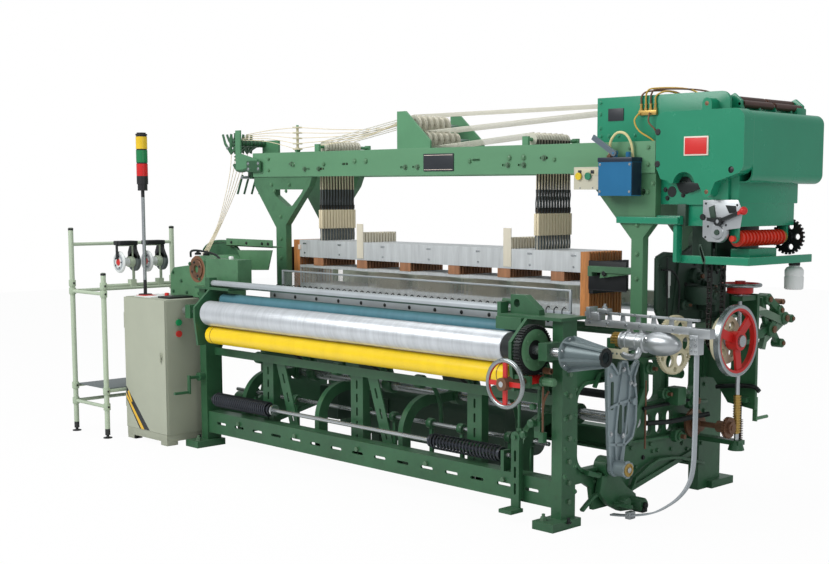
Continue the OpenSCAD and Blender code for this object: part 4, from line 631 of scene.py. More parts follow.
# ---------------------------------------------------------------- dobby
def dobby():
    # Material 4 throughout is painted shade: its dark panels, slats and blocks stand in for the shade inside the
    # dobby housing.
    p = Part()
    left, right, top, under = 1165, 1938, 2020, 1500
    p.draw("""
    box 1165 -56 1800 1560 500 1985 0 5
    box 1556 -42 1506 1985 480 1925 0 5""")
    front = [(left, 1800), (left, top)] + arc(1890, 1972, 48, 90, 0) + [(right, under), (1560, under), (1560, 1800)]
    p.prism(front, "y", -60, -44, 0, 2)
    p.draw("""
    box 1165 -46 1984 1400 500 2004 0 3
    box 1700 -45 1400 1985 450 1508 0 5
    box 1792 60 1244 1804 430 1402 4 2
    box 1428 -74 1925 1534 -58 1948 1 3""")
    p.draw("lathe z 0 -66 1948 12 1 0 0 9 0 9 10 6 12 6 26 8 27 8 31 0 32", *xs(1440, 1468, 1496, 1524))
    p.draw("box 1868 0 1920 1962 14 1958 0 3", *ys(10, 150, 290, 430, 530))
    p.draw("box 1812 470 1900 1975 556 1966 0 10")
    for x, z, r in ((1905, 1984, 17), (1950, 1962, 18), (1868, 1976, 12)):
        p.draw(f"""
        turn y 0 18 0 20 3 {r} 0 {r} 250
        turn y 0 292 0 20 3 {r} 0 {r} 236
        turn y 0 -2 0 12 2 7 0 7 562""", (x, 0, z))
    p.draw("""
    prism y 536 556 0 3 1894 1920 1962 1920 1962 1978 1920 2012 1894 2000
    prism y -2 14 0 3 1894 1920 1962 1920 1962 1978 1920 2012 1894 2000""")
    for y in (60, 130, 200, 340, 410, 480):
        p.box((1832, y, 1926), (1866, y + 22, 1946 + (y % 3) * 4), 4, 3)
    p.draw("""
    box 1570 40 1925 1800 440 1936 4 2
    box 1560 -96 1405 1700 -66 1448 0 6
    box 1337 -118 1408 1700 -103 1440 0 3
    box 1684 30 1244 1792 44 1506 4 2
    box 1684 60 1404 1700 420 1506 4 2
    box 1662 -98 1228 1684 -52 1404 0 4
    box 1664 -70 1400 1712 -42 1502 4 4
    box 1664 -60 1234 1694 496 1244 0 1
    box 1750 -60 1234 2054 496 1244 0 1
    box 1694 -60 1234 1750 115 1244 0 1
    box 1694 265 1234 1750 496 1244 0 1
    box 1664 -62 1224 2056 -52 1262 0 3
    box 2050 -58 1224 2060 500 1262 0 3
    box 1664 -60 1224 1672 496 1244 0 2
    box 1764 162 1302 1784 218 1402 0 3""")
    hanger = [(1928, 1402), (1972, 1402), (1972, 1345)] + arc(1950, 1345, 22, 0, -180) + [(1928, 1345)]
    for y in (-20, 405):
        p.prism(hanger, "y", y, y + 16, 0, 2)
    p.draw("""
    box 1880 60 1244 1985 300 1296 0 6
    prism y -65 -62 2 1 1806 1522 1806 1352 1836 1330 1905 1328 1920 1384 2010 1396 2022 1470 1996 1524
    turn y 1890 -46 1374 30 2 30 -26 34 -20 46 -18 50 -12 50 0
    turn y 1890 -72 1374 16 4 12 -6 14 0
    turn y 1900 -66 1425 16 2 9 -20 9 8
    bolts y -60 7 6 5 -1 1822 1506 1822 1350 1992 1500 1934 1408 1862 1470 1960 1450 1836 1400
    prism y -71 -60 4 3 1840 1488 1852 1436 1880 1440 1868 1500
    prism y -70 -58 5 3 1930 1500 1952 1462 1990 1466 1985 1496""")
    p.draw("box 1786 -64 1288 1800 -52 1316 4 2", *((3 * k, 0, -8 * k) for k in range(9)))
    p.draw("""
    turn y 1806 -62 1443 18 5 13 -9 15 -6 15 -2 12 0
    turn z 2000 440 1090 26 6 40 0 46 5 47 60 44 66 46 72 46 94 38 106 25 112 25 130
    turn z 2000 440 1206 20 5 27 0 28 4 28 30
    bolts y -60 8 6 0 -1 1190 1832 1240 1832 1300 1832 1400 1832 1540 1832 1185 1870 1185 1940 1185 1996
    bolts y -60 9 7 5 -1 1600 1530 1690 1545 1588 1570
    turn y 1625 -60 1560 24 5 24 -3 26 0
    turn y 1700 -60 1590 24 5 20 -12 24 -6 40 -4 42 0
    prism y -76 -58 5 4 1655 1604 1672 1570 1735 1556 1790 1574 1806 1604""")
    o = p.make("dobby_body", "loom", [dobby_paint, brass, alloy, roller_dark, painted_shade_inside, iron, white],
               "dobby_green")
    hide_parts("dobby_casing")


def pipes():
    p = Part()
    starts = [(x, -66, 1978) for x in (1440, 1468, 1496, 1524)]
    ends = [(1640, 60, 1950), (1720, 100, 1950), (1790, 160, 1940), (1600, 20, 1980)]
    for k, (s, e, top) in enumerate(zip(starts, ends, (2040, 2052, 2046, 2034))):
        p.tube(curve([s, (s[0] + 4, s[1], top - 20), (s[0] + 40, s[1] + 20, top),
                      ((s[0] + e[0]) / 2 + 20, e[1] - 10, top - 4), (e[0], e[1], e[2] + 30), e]),
               4.2, 0 if k % 2 else 1)
    p.draw("""
    pipe 4.2 0 8 1440 -80 1936 1420 -92 1900 1452 -96 1850 1530 -84 1800 1552 -80 1740
    pipe 4.2 1 8 1500 -80 1936 1506 -94 1890 1548 -96 1850 1556 -80 1800""")
    p.make("oil_pipes", "loom", [yellow_tube, copper], "copper")
    h = Part()
    route = curve([(1318, -150, 1730), (1318, -150, 1760), (1326, -152, 1806), (1360, -148, 1842), (1402, -138, 1836),
                   (1430, -128, 1790), (1438, -122, 1720), (1446, -112, 1650), (1452, -104, 1610)], 4)
    h.tube(route, HOSE_RADIUS)
    hose = h.make("pump_hose", "loom", [pale_tube], "copper")
    f = Part()
    f.draw("lathe z 0 0 0 12 0 6.8 0 9 0 9 20 6.8 20", (1318, -150, 1722), (1452, -104, 1600))
    f.make("hose_fittings", "loom", [brass], "copper")


def cover_trim():
    p = Part()
    p.draw("""
    box 1733 -126 1726 1867 -118 1815 1 2
    box 1740 -128.5 1733 1860 -124 1808 0 1.5
    turn y 1580 -118 1690 20 2 12 -6 16 -2 17 2
    turn y 1580 -118 1840 20 2 12 -6 16 -2 17 2
    turn y 1859 -117 1560 20 3 7 -3 14 0 15 6
    turn y 1852 -117 1962 20 3 7 -3 14 0 15 6
    turn y 1990 -114 1660 20 2 11 -2 15 0 16 4""")
    p.make("cover_trim", "loom", [plate_red, plate_pale, black, copper], "red_paint")
    q = Part()
    q.draw("""
    box 1236 -64 1905 1330 -59 1965 0 1
    box -29 -115 1671 208 -109 1767 0 1.5
    box -22 -116 1678 201 -114 1680.5 1 0.3
    box -22 -116 1757.5 201 -114 1760 1 0.3
    box -1240 -52 1196 -1216 -44.5 1226 1 0.5""")
    q.make("nameplates", "loom", [plate_dark, plate_pale], "dark_steel")


# ---------------------------------------------------------------- rapier drive and swing lever
def rapier():
    p = Part()
    y, z = RAPIER_AT[1], 862
    p.draw("""
    box 1456 -30 775 1505 30 870 1 5
    turn x 1479 0 862 30 3 30 0 30 52""", RAPIER_AT)
    for c, s in ring(16):
        p.box((1481, y + c * 32 - 4, z + s * 32 - 4), (1529, y + c * 32 + 4, z + s * 32 + 4), 3, 1.5)
    p.draw("""
    lathe x 1529 0 862 40 0 0 0 40 0 44 3 44 10 38 14 38 28 48 30 48 42 43 44 43 90 46 92 46 100 43 102 43 128 49
      131 50 142 44 146 44 160 52 176 56 200 57 230 53 262 44 292 30 316 16 330 0 336""", RAPIER_AT)
    for c, s in ring(6, 0.4):
        p.bolt((1571, y + 36 * c, z + 36 * s), "x", 5, 5, 4, 1)
    p.draw("lathe y 1700 -52 880 14 4 0 -8 8 -8 8 0 12 2 0 4", RAPIER_AT)
    elbow = curve([(1652, y - 20, 840), (1652, y - 40, 815), (1640, y - 42, 796), (1600, y - 40, 792),
                   (1560, y - 34, 800)])
    p.tube(elbow, [16] * 32 + [14], 0, 12)
    p.draw("prism y -40 -32 2 1.5 1462 775 1590 775 1590 832 1560 832 1548 822 1462 822", RAPIER_AT)
    p.draw("turn y 0 -40 800 12 4 5 -3 6 0", *((1480 + k * 24, y, 0) for k in range(5)))
    p.draw("""
    box 1462 -32 800 1560 -22 812 2 1.5
    box 1310 -16 919 2028 -10 950 0 2
    box 1310 8 919 2028 14 950 0 2
    box 1310 -14 917 2028 12 925 0 1.5
    box 1349 -10 978 1960 10 990 0 2""", RAPIER_AT)
    p.draw("""
    prism y 12 20 0 1.5 0 920 34 920 30 955 26 982 8 982 4 955
    bolts y -10 5 4 4 -1 17 984""", *((x, y, 0) for x in (1350, 1420, 1500, 1590, 1680, 1780, 1880)))
    p.draw("""
    bolts y -16 6 5 4 -1 1340 935 1450 935 1560 935 1640 935 1730 935 1830 935 1930 935
    box 1316 -26 948 1404 26 986 0 4
    box 1330 -34 955 1352 34 1010 0 4
    box 1390 -24 986 1450 20 1006 0 4
    lathe z 1420 0 1004 16 4 0 0 12 0 12 12 7 14 7 24 0 25""", RAPIER_AT)
    p.draw("prism y -12 12 0 2 -4 892 28 892 20 922 4 922", *((x, y, 0) for x in (1560, 1632, 1724)))
    p.draw("""
    box 1925 -26 828 1972 24 918 0 4
    box 1918 -22 905 2034 22 950 0 5
    bolts y -26 6 5 4 -1 1936 845 1960 845 1936 872 1960 872 1936 899 1960 899""", RAPIER_AT)
    # guide strip curving down to the floor
    guide = [(1950, 920), (1950, 760), (1950, 560), (1949, 440), (1944, 314), (1922, 230), (1872, 160), (1801, 103),
             (1720, 58), (1620, 30), (1540, 16), (1479, 10)]
    pts = curve([(a, y, b) for a, b in guide], 5)
    verts, faces = [], []
    for k, q in enumerate(pts):
        d = along(pts, k)
        n = Vector((d.z, 0, -d.x)) * 4.0
        w = Vector((0, 15, 0))
        verts += [q - n - w, q + n - w, q + n + w, q - n + w]
        if k:
            a, b = 4 * (k - 1), 4 * k
            faces += [[a + j, a + (j + 1) % 4, b + (j + 1) % 4, b + j] for j in range(4)]
    faces += [[0, 1, 2, 3], [4 * len(pts) - 4 + j for j in (3, 2, 1, 0)]]
    p.faces(verts, faces, 5)
    p.draw("""
    box 1575 -22 8 1606 22 44 0 4
    bolts y -22 7 6 4 -1 1590 30
    box 1496 -9 56 1600 9 74 1 3""", RAPIER_AT)
    o = p.make("rapier_drive", "loom", [alloy, cast, cream, brass, steel, silver], "alloy")
    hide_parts("rapier_case")


def swing():
    p = Part()
    outline = [(-372, 240), (-350, 216), (-310, 216), (-288, 250), (-271, 353), (-209, 385), (-185, 455), (-182, 568),
               (-199, 679), (-169, 741), (-178, 752), (-205, 730), (-241, 690), (-262, 757), (-305, 757), (-323, 698),
               (-372, 752), (-405, 760), (-405, 656), (-398, 545), (-388, 369)]
    p.prism(outline, "x", 1506, 1518, 0, 2)
    p.rim(outline, 13, 1514, 1530, 0)
    p.draw("""
    strip 1514 1529 0 14 -330 260 -340 420 -320 560 -290 700
    strip 1514 1529 0 14 -300 270 -262 420 -240 560 -228 690
    strip 1514 1529 0 14 -388 545 -320 560 -190 568
    strip 1514 1529 0 14 -271 353 -384 369""")
    # The windows are painted shade: recessed ovals in material 1, the dark green that stands in for shade.
    for cy, cz, w, h in ((-300, 480, 22, 58), (-362, 600, 14, 60), (-252, 470, 18, 60), (-330, 335, 14, 30)):
        window = arc(cy, cz + h, w * 0.6, 0, 180) + arc(cy, cz - h, w * 0.6, 180, 360)
        p.prism(window, "x", 1515, 1523, 1, 1)
    p.draw("turn x 1500 -330 250 32 0 38 0 38 70 36 90")
    radii = [43 if k % 4 else 36 for k in range(24)]
    notched = [(SWING_Y + r * c, SWING_Z + r * s) for r, (c, s) in zip(radii, ring(24))]
    p.prism(notched, "x", 1588, 1598, 0, 1.5)
    p.draw("""
    turn x 1598 -330 250 28 2 32 0 32 5 24 6 22 2
    turn x 1598 -330 250 20 3 14 0 14 8 10 9
    turn x 1510 -212 560 20 0 18 0 18 34 14 36
    bolts x 1528 9 8 3 1 -386 700 -230 650 -284 720 -200 640 -380 420 -284 400""")
    lever = paint("swing_body", shade(GREYPAINT, (142, 156, 160), metal=0.35, rough=0.36))
    o = p.make("swing_lever_body", "swing", [lever, painted_shade_inside, brass, steel], "silver_paint")
    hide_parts("swing_lever")


def takeup():
    p = Part()
    y, z = TAKEUP_Y, TAKEUP_Z
    p.draw("""
    lathe x -1250 0 0 64 0 22 0 68 0 74 5 74 2430 70 2436 22 2436
    lathe x 1187 0 0 56 1 22 0 68 0 70 3 70 66 64 72 22 73
    turn x -1512 0 0 24 3 22 0 22 262
    turn x 1258 0 0 24 3 22 0 22 290""", (0, y, z))
    for c, s in ring(11):
        p.box((1190, y + 66 * c - 3, z + 66 * s - 3), (1256, y + 66 * c + 3, z + 66 * s + 3), 1, 0.8)
    p.draw("lathe x 1545 0 0 44 2 22 0 66 0 78 3 80 14 70 20 62 24 40 205 40 212 34 214 30 206 28 150 0 150",
           (0, y, z))
    rib = [(1559, 40), (1559, 84), (1585, 80), (1665, 64), (1743, 50), (1759, 47), (1759, 36)]
    m = len(rib)
    for (c, s), (bolt_c, bolt_s) in zip(ring(6, 0.26), ring(6, 0.76)):
        verts = [(a, y + c * r - s * w, z + s * r + c * w) for w in (-4.5, 4.5) for a, r in rib]
        faces = [list(range(m)), list(range(m, 2 * m))[::-1]]
        faces += [[j, (j + 1) % m, m + (j + 1) % m, m + j] for j in range(m)]
        p.faces(verts, faces, 2)
        p.bolt((1563, y + 68 * bolt_c, z + 68 * bolt_s), "x", 6, 5, 3, 1)
    p.draw("lathe x 1751 0 0 36 1 26 0 38 0 43 3 43 10 36 12 26 8", (0, y, z))
    sleeve = paint("takeup_sleeve", shade(SILVER, (204, 208, 212), rough=0.36, metal=0.55),
                   stretch=(14, 1, 1), fine=220.0)
    cone = paint("takeup_cone", shade(GREYPAINT, (96, 110, 112), rough=0.36))
    o = p.make("takeup_drum", "takeup", [sleeve, iron, cone, steel], "silver_paint")
    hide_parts("takeup_roller")


# ---------------------------------------------------------------- selector and cords
def selector():
    p = Part()
    for k, lift in enumerate((0, 34, 12, 44, 6, 26)):
        y = -95 + 32 * k
        p.draw("lathe y -1770 0 1870 24 0 10.2 0 22 0 24 3 24 21 22 24 10.2 24", (0, y, 0))
        arm = [Vector(q) for q in ((-1764, 1858), (-1830, 1852 + lift * 0.3), (-1890, 1806 + lift),
                                   (-1955, 1870 + lift * 0.6), (-1980, 1931))]
        sides = [Vector((-d.y, d.x)) * (13 - 1.6 * j) for j, d in enumerate(along(arm, j) for j in range(5))]
        edge = [q + n for q, n in zip(arm, sides)] + [q - n for q, n in zip(arm, sides)][::-1]
        p.prism([(v.x, v.y) for v in edge], "y", y + 6, y + 16, 0, 2)
        p.draw("prism y 7 15 0 2 -1884 1806 -1906 1812 -1904 1900 -1894 1934 -1876 1930 -1878 1880", (0, y, 0))
        p.turn((-1925, y + 2, 1840 + lift * 0.6), "y", [(9, 0), (9, 18)], 12, 1)
        if k < 5:
            p.draw("lathe y -1770 24 1870 20 1 10.2 0 16 0 16 8 10.2 8", (0, y, 0))
    o = p.make("selector_arms", "selector", [cast, steel], "casting_green")
    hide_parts("selector_levers")
    q = Part()
    q.draw("box -1790 -118 1747 -1748 -108 1948 0 3")
    q.draw("box -1812 -118 1756 -1788 -110 1766 0 2", *((0, 0, k * 21) for k in range(9)))
    q.draw("""
    prism y -132 -120 0 3 -1661 1681 -1513 1681 -1513 1752 -1661 1752
    pipe 11 0 10 -1662 -120 1700 -1720 -116 1690 -1783 -112 1696 -1830 -104 1730
    bolts y -132 8 6 1 -1 -1640 1700 -1640 1734 -1534 1700 -1534 1734""")
    q.draw("tube 7 0 8 -1730 0 1662 -1760 0 1600 -1788 0 1541", *ys(-112, -60, 0, 60))
    q.draw("""
    tube 10 1 12 -1732 -120 1648 -1732 100 1648
    box -1745 -60 1640 -1700 90 1704 0 4""")
    q.make("selector_stand", "loom", [cast, steel], "casting_green")
    d = Part()
    for k in range(5):
        y = -83 + 32 * k
        d.tube(curve([(-1890 + 6 * (k % 3), y, 1812), (-1874, y * 0.8 - 40, 1690), (-1830, y * 0.5 - 140, 1520),
                      (-1770, y * 0.2 - 280, 1320), (-1700 + 3 * k, -470 + 8 * k, 1140)]), CORD_RADIUS, 0, 6)
    lower = d.make("selector_strings", None, [cord_look], "cord")
    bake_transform(lower)
    c = Part()
    for k in range(5):
        z = 1822 + 32 * k
        c.tube(curve([(-1768, -100 + 14 * k, 1890 + 9 * k), (-1480, -98 + 6 * k, 1872 + 18 * k),
                      (-1206, -96, z)], 10), CORD_RADIUS, 0, 6)
        c.tube(curve([(-1156, -92, z), (-900, -60 + 20 * k, 1846 + 22 * k), (-620, -20 + 30 * k, 1880 + 14 * k),
                      (-260, 36 * k, 1988)], 10), CORD_RADIUS, 0, 6)
    c.make("selector_cords", "loom", [cord_look], "cord")


# ---------------------------------------------------------------- harness, healds and sley
def harness(name, body, first):
    p = Part()
    for i in range(first, 12, 2):
        y = HEALD_Y + HEALD_PITCH * i
        for x0 in (-1020, 755):
            for dx in (-9, 9):
                x = x0 + dx
                p.draw("""
                tube 4.4 1 6 0 0 1258 2 0 1290 -1 0 1336
                box -8 -9.5 1330 8 9.5 1446 0 4
                tube 3.4 1 6 0 0 1440 -3 0 1500 2 0 1540 0 0 1570
                box -2 -6 1452 2 6 1476 2 1""", (x, y, 0))
                p.tube([(x, y, 1566), (x0 + dx * 0.7, y, 1712)], 2.4, 0, 5)
    p.make(name, body, [cord_look, rope_look, iron], "cord")


def heald_wires(name, body, first):
    p = Part()
    for i in range(first, 6, 2):
        y = HEALD_Y + HEALD_PITCH * i
        wires = [(-1224 + k * 9.1, y, 0) for k in range(250)]
        blocks = (-1050, -640, -260, 140, 520, 900)
        p.draw("tube 1.1 0 3 0 0 976 0.8 0 1040 0 0 1101",
               *(w for w in wires if min(abs(w[0] - x) for x in blocks) >= 48))
        p.draw("""
        box -16 -9 1230 16 -7.2 1240 1 0.4
        bolts y -7 5 3 1 -1 0 1176""", *((x, y, 0) for x in (-1180, -845, -450, -60, 330, 710, 1010)))
    p.make(name, body, [paint(name + "_wire", shade(WHITE, (214, 208, 190), rough=0.4)), steel], "cord")


def sley():
    p = Part()
    p.draw("turn x -1487 0 0 48 2 28 0 29.7 2 29.7 2972 28 2974", (0, SLEY_Y, SLEY_Z))
    p.draw("""
    lathe x -32 -120 440 28 1 29 0 46 0 48 3 48 61 46 64 29 64
    prism x -20 20 1 3 -154 440 -128 440 -292 800 -300 905 -330 905 -315 760
    prism x -20 20 1 3 -106 440 -86 440 -260 905 -284 905 -282 800
    box -20 -300 640 20 -170 660 1 3""", *xs(-1000, -300, 400, 950))
    p.draw("""
    box -1150 -345 900 1200 -255 960 0 4
    box -1130 -269 960 1180 -255 972 0 2
    box -1130 -267 1070 1180 -257 1080 0 3
    box -1130 -268 960 -1118 -256 1080 0 2
    box 1168 -268 960 1180 -256 1080 0 2""")
    p.draw("tube 0.8 2 3 0 -262 971 0 -262 1071", *xs(*range(-1114, 1176, 5)))
    for x in range(-1116, 1224, 52):
        p.tube(curve([(x, -322, 958), (x, -324, 980), (x, -310, 994), (x, -296, 988)], 4), 3, 3, 6)
    p.draw("bolts y -345 8 6 3 -1 0 930", *xs(*range(-1100, 1300, 200)))
    o = p.make("sley_body", "sley", [silver, cast, steel, iron], "silver_paint")
    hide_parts("sley")


# ---------------------------------------------------------------- right end
def right_machinery():
    p = Part()
    # Material 1 is painted shade: the housing plate, its rim, ribs, blocks and many bolts take the dark green that
    # stands in for shade in the housing.
    plate = [(-15, 1239), (46, 1260), (183, 1249), (278, 1285), (512, 1263), (570, 1199), (578, 1000), (540, 905),
             (120, 905), (40, 905), (-12, 984)]
    p.prism(plate, "x", 1496, 1504, 1, 2)
    p.rim(plate, 16, 1500, 1520, 1)
    p.draw("""
    strip 1500 1514 1 12 120 920 180 1240
    strip 1500 1514 1 12 380 920 400 1270""")
    for y, z in ((20, 1200), (60, 1100), (60, 980), (250, 1230), (320, 1200), (450, 1220), (520, 1150), (530, 1040),
                 (300, 1000), (440, 960), (240, 1100), (330, 1080)):
        p.bolt((1503, y, z), "x", 9, 8, 1 if y % 40 else 3, 1)
    p.draw("""
    pipe 5 3 8 1524 10 1180 1530 90 1172 1530 150 1100 1526 150 960
    tube 4 3 8 1520 60 1240 1520 66 930
    box 1516 64 1100 1526 84 1180 5 3
    box 1516 70 1040 1524 80 1104 5 2""")
    for y, z, r in ((300, 1140, 40), (420, 1080, 30), (480, 1180, 24), (200, 1000, 26)):
        p.draw(f"""
        turn x 1500 0 0 24 1 {r} 0 {r} 34 {r * 0.8} 40 {r * 0.5} 42 {r * 0.5} 60
        lathe x 1558 0 0 16 2 0 0 {r * 0.3} 0 {r * 0.3} 12 0 14""", (0, y, z))
    p.draw("""
    box 1504 230 1000 1640 330 1090 1 10
    box 1504 340 960 1620 470 1060 1 14
    lathe x 1640 280 1044 24 1 0 0 34 0 34 18 20 22 20 34 0 36
    strip 1664 1690 0 46 620 828 677 830 745 850 820 905 880 930
    strip 1676 1702 0 40 716 1018 760 985 820 950 870 895
    strip 1680 1700 0 34 870 898 905 905 938 896
    strip 1672 1692 0 34 745 850 800 815 846 762
    strip 1668 1690 0 34 677 1022 690 960 720 880""")
    for y, z, r in ((870, 900, 34), (745, 850, 38), (820, 946, 26), (700, 1010, 30), (932, 894, 22), (840, 770, 24)):
        p.draw(f"""
        turn x 1652 0 0 24 0 {r} 0 {r} 56 {r * 0.8} 62
        turn x 1712 0 0 16 2 {r * 0.5} 0 {r * 0.5} 10 {r * 0.3} 13""", (0, y, z))
    p.draw("""
    turn x 1660 840 989 18 2 15 0 15 50 11 54
    tube 11 2 10 1690 700 1008 1690 840 986
    pipe 13 3 10 1470 -20 420 1520 120 418 1560 240 430 1600 330 440
    tube 9 3 10 1500 -90 505 1500 320 505
    tube 5 2 8 1492 -60 640 1492 -60 300
    box 1480 120 500 1560 190 590 0 8""")
    for y, z, r in ((330, 500, 46), (210, 330, 34), (90, 560, 28), (-40, 700, 30)):
        p.draw(f"""
        lathe x 1474 0 0 24 0 0 0 {r} 0 {r} 30 {r * 0.7} 34 {r * 0.7} 46 0 48
        lathe x 1520 0 0 16 2 0 0 {r * 0.34} 0 {r * 0.34} 22 0 24""", (0, y, z))
    p.draw("lathe z 1694 470 404 20 2 13 -2 20 0 13 2", *((0, 0, -9 * k) for k in range(12)))
    p.draw("""
    turn z 1694 470 290 16 3 10 0 10 210
    box 1660 470 494 1730 506 520 0 6
    pipe 12 3 10 1550 470 560 1640 474 574 1760 478 582 1800 480 560""")
    p.make("right_machinery", "loom", [cast, painted_shade_inside, copper, iron, steel, white], "dark_green")


def web_ribs():
    p = Part()
    p.draw("""
    prism x 1466 1492 0 3 -148 799 -107 761 -40 752 -34 590 -150 362 -186 330 -204 352 -176 420 -72 606 -80 720
      -160 770
    strip 1448 1470 0 15 -505 60 -468 84 -420 112 -375 126 -350 100 -318 70 -180 60 -150 74 -112 112 -91 150 15 196
      98 218 200 212 289 200 400 170 500 140
    strip 1448 1468 0 15 -420 640 -380 700 -200 716 -60 716
    strip 1448 1480 0 24 -480 240 -400 214 -378 214
    strip 1448 1468 0 14 -160 340 60 330 320 320 520 330
    strip 1448 1468 0 14 -20 480 160 490 360 480 520 470
    prism x 1452 1486 0 4 -384 210 -280 216 -190 130 -118 84 -108 30 -150 6 -236 14 -330 60 -400 130
    turn x 1452 -142 40 28 0 36 0 36 96 30 104
    lathe x 1556 -142 40 18 1 0 0 16 0 16 12 0 14
    turn x 1452 -236 60 24 0 30 0 30 70 26 76
    box 1500 -160 4 1560 -120 30 1 5""")
    web, post = 1436, 1456
    for y, z, x in ((-200, 660, web), (-100, 540, web), (80, 260, web), (240, 250, web), (380, 230, web),
                    (-60, 200, web), (500, 420, post), (500, 560, post), (330, 400, web), (-330, 140, web),
                    (-260, 100, web), (480, 250, post), (-20, 330, web), (-180, 120, web), (120, 260, web),
                    (0, 240, web), (-120, 200, web), (-300, 200, web), (-100, 300, web), (60, 300, web),
                    (-380, 180, web)):
        p.bolt((x, y, z), "x", 10, 9, 0 if (y + z) % 80 else 1, 1)
    p.draw("""
    bolts x 1511 9 8 0 1 -620 180 -620 300 -620 420 -620 540 -620 660 -620 760
    bolts y -656 9 8 0 -1 1482 250 1482 380 1482 520 1482 640""")
    p.draw("lathe z 0 -640 30 6 1 0 0 16 0 16 4 9 4 9 26 0 28", *xs(-1493, -1417, 1417, 1493))
    p.make("web_ribs", "loom", [cast, iron], "casting_green")


def front_gear():
    p = Part()
    y, z, root, tip = TAKEUP_Y, TAKEUP_Z, 106, 114.5
    for c, s in ring(48):
        q = [(1312, y + c * root - s * w, z + s * root + c * w) for w in (-3, 3)]
        r = [(1312, y + c * tip - s * w, z + s * tip + c * w) for w in (-2, 2)]
        lo = [Vector(v) for v in q + r[::-1]]
        hi = [v + Vector((31, 0, 0)) for v in lo]
        p.faces(lo + hi, [[0, 1, 2, 3], [4, 5, 6, 7], [0, 1, 5, 4], [1, 2, 6, 5], [2, 3, 7, 6], [3, 0, 4, 7]], 1)
    p.draw("lathe x 1340 0 0 40 0 46 0 96 0 96 7 90 9 52 9 46 5 46 0", (0, y, z))
    for c, s in ring(5):
        p.bolt((1348, y + 70 * c, z + 70 * s), "x", 9, 6, 0, 1)
    p.make("gear_teeth", "takeup", [light_cast, steel], "dark_steel")
    q = Part()
    q.draw("""
    turn x 1385 -700 690 22 1 20 0 20 62 15 68
    turn x 1376 -700 690 22 0 24 0 24 12""")
    for k in range(9):
        q.draw(f"lathe x 1392 -706 742 18 2 10 {5 * k} 15 {5 * k + 2} 10 {5 * k + 4}")
    q.draw("""
    tube 5 2 8 1372 -690 720 1372 -690 420
    box 1358 -706 400 1386 -674 450 0 5
    pipe 6 2 8 1386 -666 640 1380 -690 600 1372 -690 560""")
    for x, z, r in ((1300, 560, 16), (1290, 480, 20), (1240, 420, 18)):
        q.turn((x, -668, z), "y", [(r * 0.6, -24), (r, -18), (r, 0)], 20, 0)
    q.draw("""
    tube 8 0 10 1180 -640 300 1180 -640 660
    box 1160 -660 640 1330 -620 668 0 6""")
    q.make("front_gear_parts", "loom", [cast, light_cast, copper], "casting_green")


# ---------------------------------------------------------------- under the loom
def inner_machinery():
    p = Part()
    # Material 1 is painted shade: the gear teeth and the two boxes under the loom take the dark green that stands in
    # for shade there.
    for x, y, z, r in ((-640, 60, 520, 132), (80, 60, 520, 132), (650, 60, 520, 132), (-780, 190, 700, 96),
                       (560, 190, 700, 96)):
        p.draw(f"""
        turn x 0 0 0 44 1 28 0 28 6 {r - 22} 6 {r - 18} 0 {r} 0 {r} 24 {r - 18} 24 {r - 22} 18 28 18 28 34""",
               (x, y, z))
        for c, s in ring(36):
            v, w = y + c * (r + 3), z + s * (r + 3)
            p.box((x + 2, v - 3, w - 3), (x + 22, v + 3, w + 3), 1, 0)
    p.draw("""
    tube 22 2 20 -1395 60 520 1395 60 520
    tube 11 3 14 -1395 -420 330 1180 -420 330
    tube 24 0 18 -1395 380 620 1395 380 620
    tube 14 0 16 -1395 -480 560 1395 -480 560""")
    p.draw("""
    lathe x 0 -420 330 20 0 11 0 26 0 28 3 28 32 26 35 11 35
    box 6 -424 120 26 -404 320 0 3""", *xs(-1230, -1060, -820, -560, -180, 40, 330, 560, 900, 1040))
    p.draw("""
    lathe x 0 -480 560 22 0 14 0 34 0 36 4 36 46 34 50 14 50
    pipe 12 0 10 24 -460 560 24 -380 520 24 -330 420 24 -320 300""", *xs(-1100, -380, 300, 860))
    p.draw("pipe 10 2 10 60 -400 620 70 -300 560 66 -200 480 70 -60 470", *xs(-1000, -300, 400))
    p.draw("""
    box -1180 60 120 -1000 200 330 1 14
    box 640 -420 110 760 -300 200 1 12""")
    p.make("inner_machinery", "loom", [cast, painted_shade_inside, iron, steel], "dark_green")


# ---------------------------------------------------------------- beams and left end
def beam_trim():
    p = Part()
    for x, z, r in ((-1540, 1722, 12), (-1452, 1760, 12), (-1452, 1690, 12), (-1200, 1722, 15), (-905, 1722, 15),
                    (-620, 1735, 18), (-520, 1735, 18), (330, 1722, 15), (620, 1735, 18), (720, 1735, 18),
                    (930, 1722, 14), (1330, 1690, 12), (1410, 1770, 12), (1520, 1770, 12), (1520, 1690, 12)):
        p.bolt((x, -110, z), "y", r * 0.72, 9, 0, -1)
    p.draw("bolts y -104 9 8 0 -1 -90 1600 90 1600 -60 1560 60 1560 0 1400 0 1260 0 1140", *xs(-1345, 1455))
    p.make("beam_bolts", "loom", [light_cast], "beam_green")
    q = Part()
    q.draw("""
    box 1122 -60 1066 1360 -52 1070 1 1
    box 1122 -60 1211 1360 -52 1215 1 1
    box 1120 -60 1070 1360 -53 1215 1 2
    prism y -92 -60 0 5 1216 1130 1226 1176 1300 1184 1430 1178 1430 1160 1300 1142
    turn y 1250 -92 1156 6 2 12 -12 15 -8 15 0
    turn x 1340 -80 1168 14 2 11 0 11 60""")
    q.make("stave_guard", "loom", [light_cast, black, iron], "dark_steel")


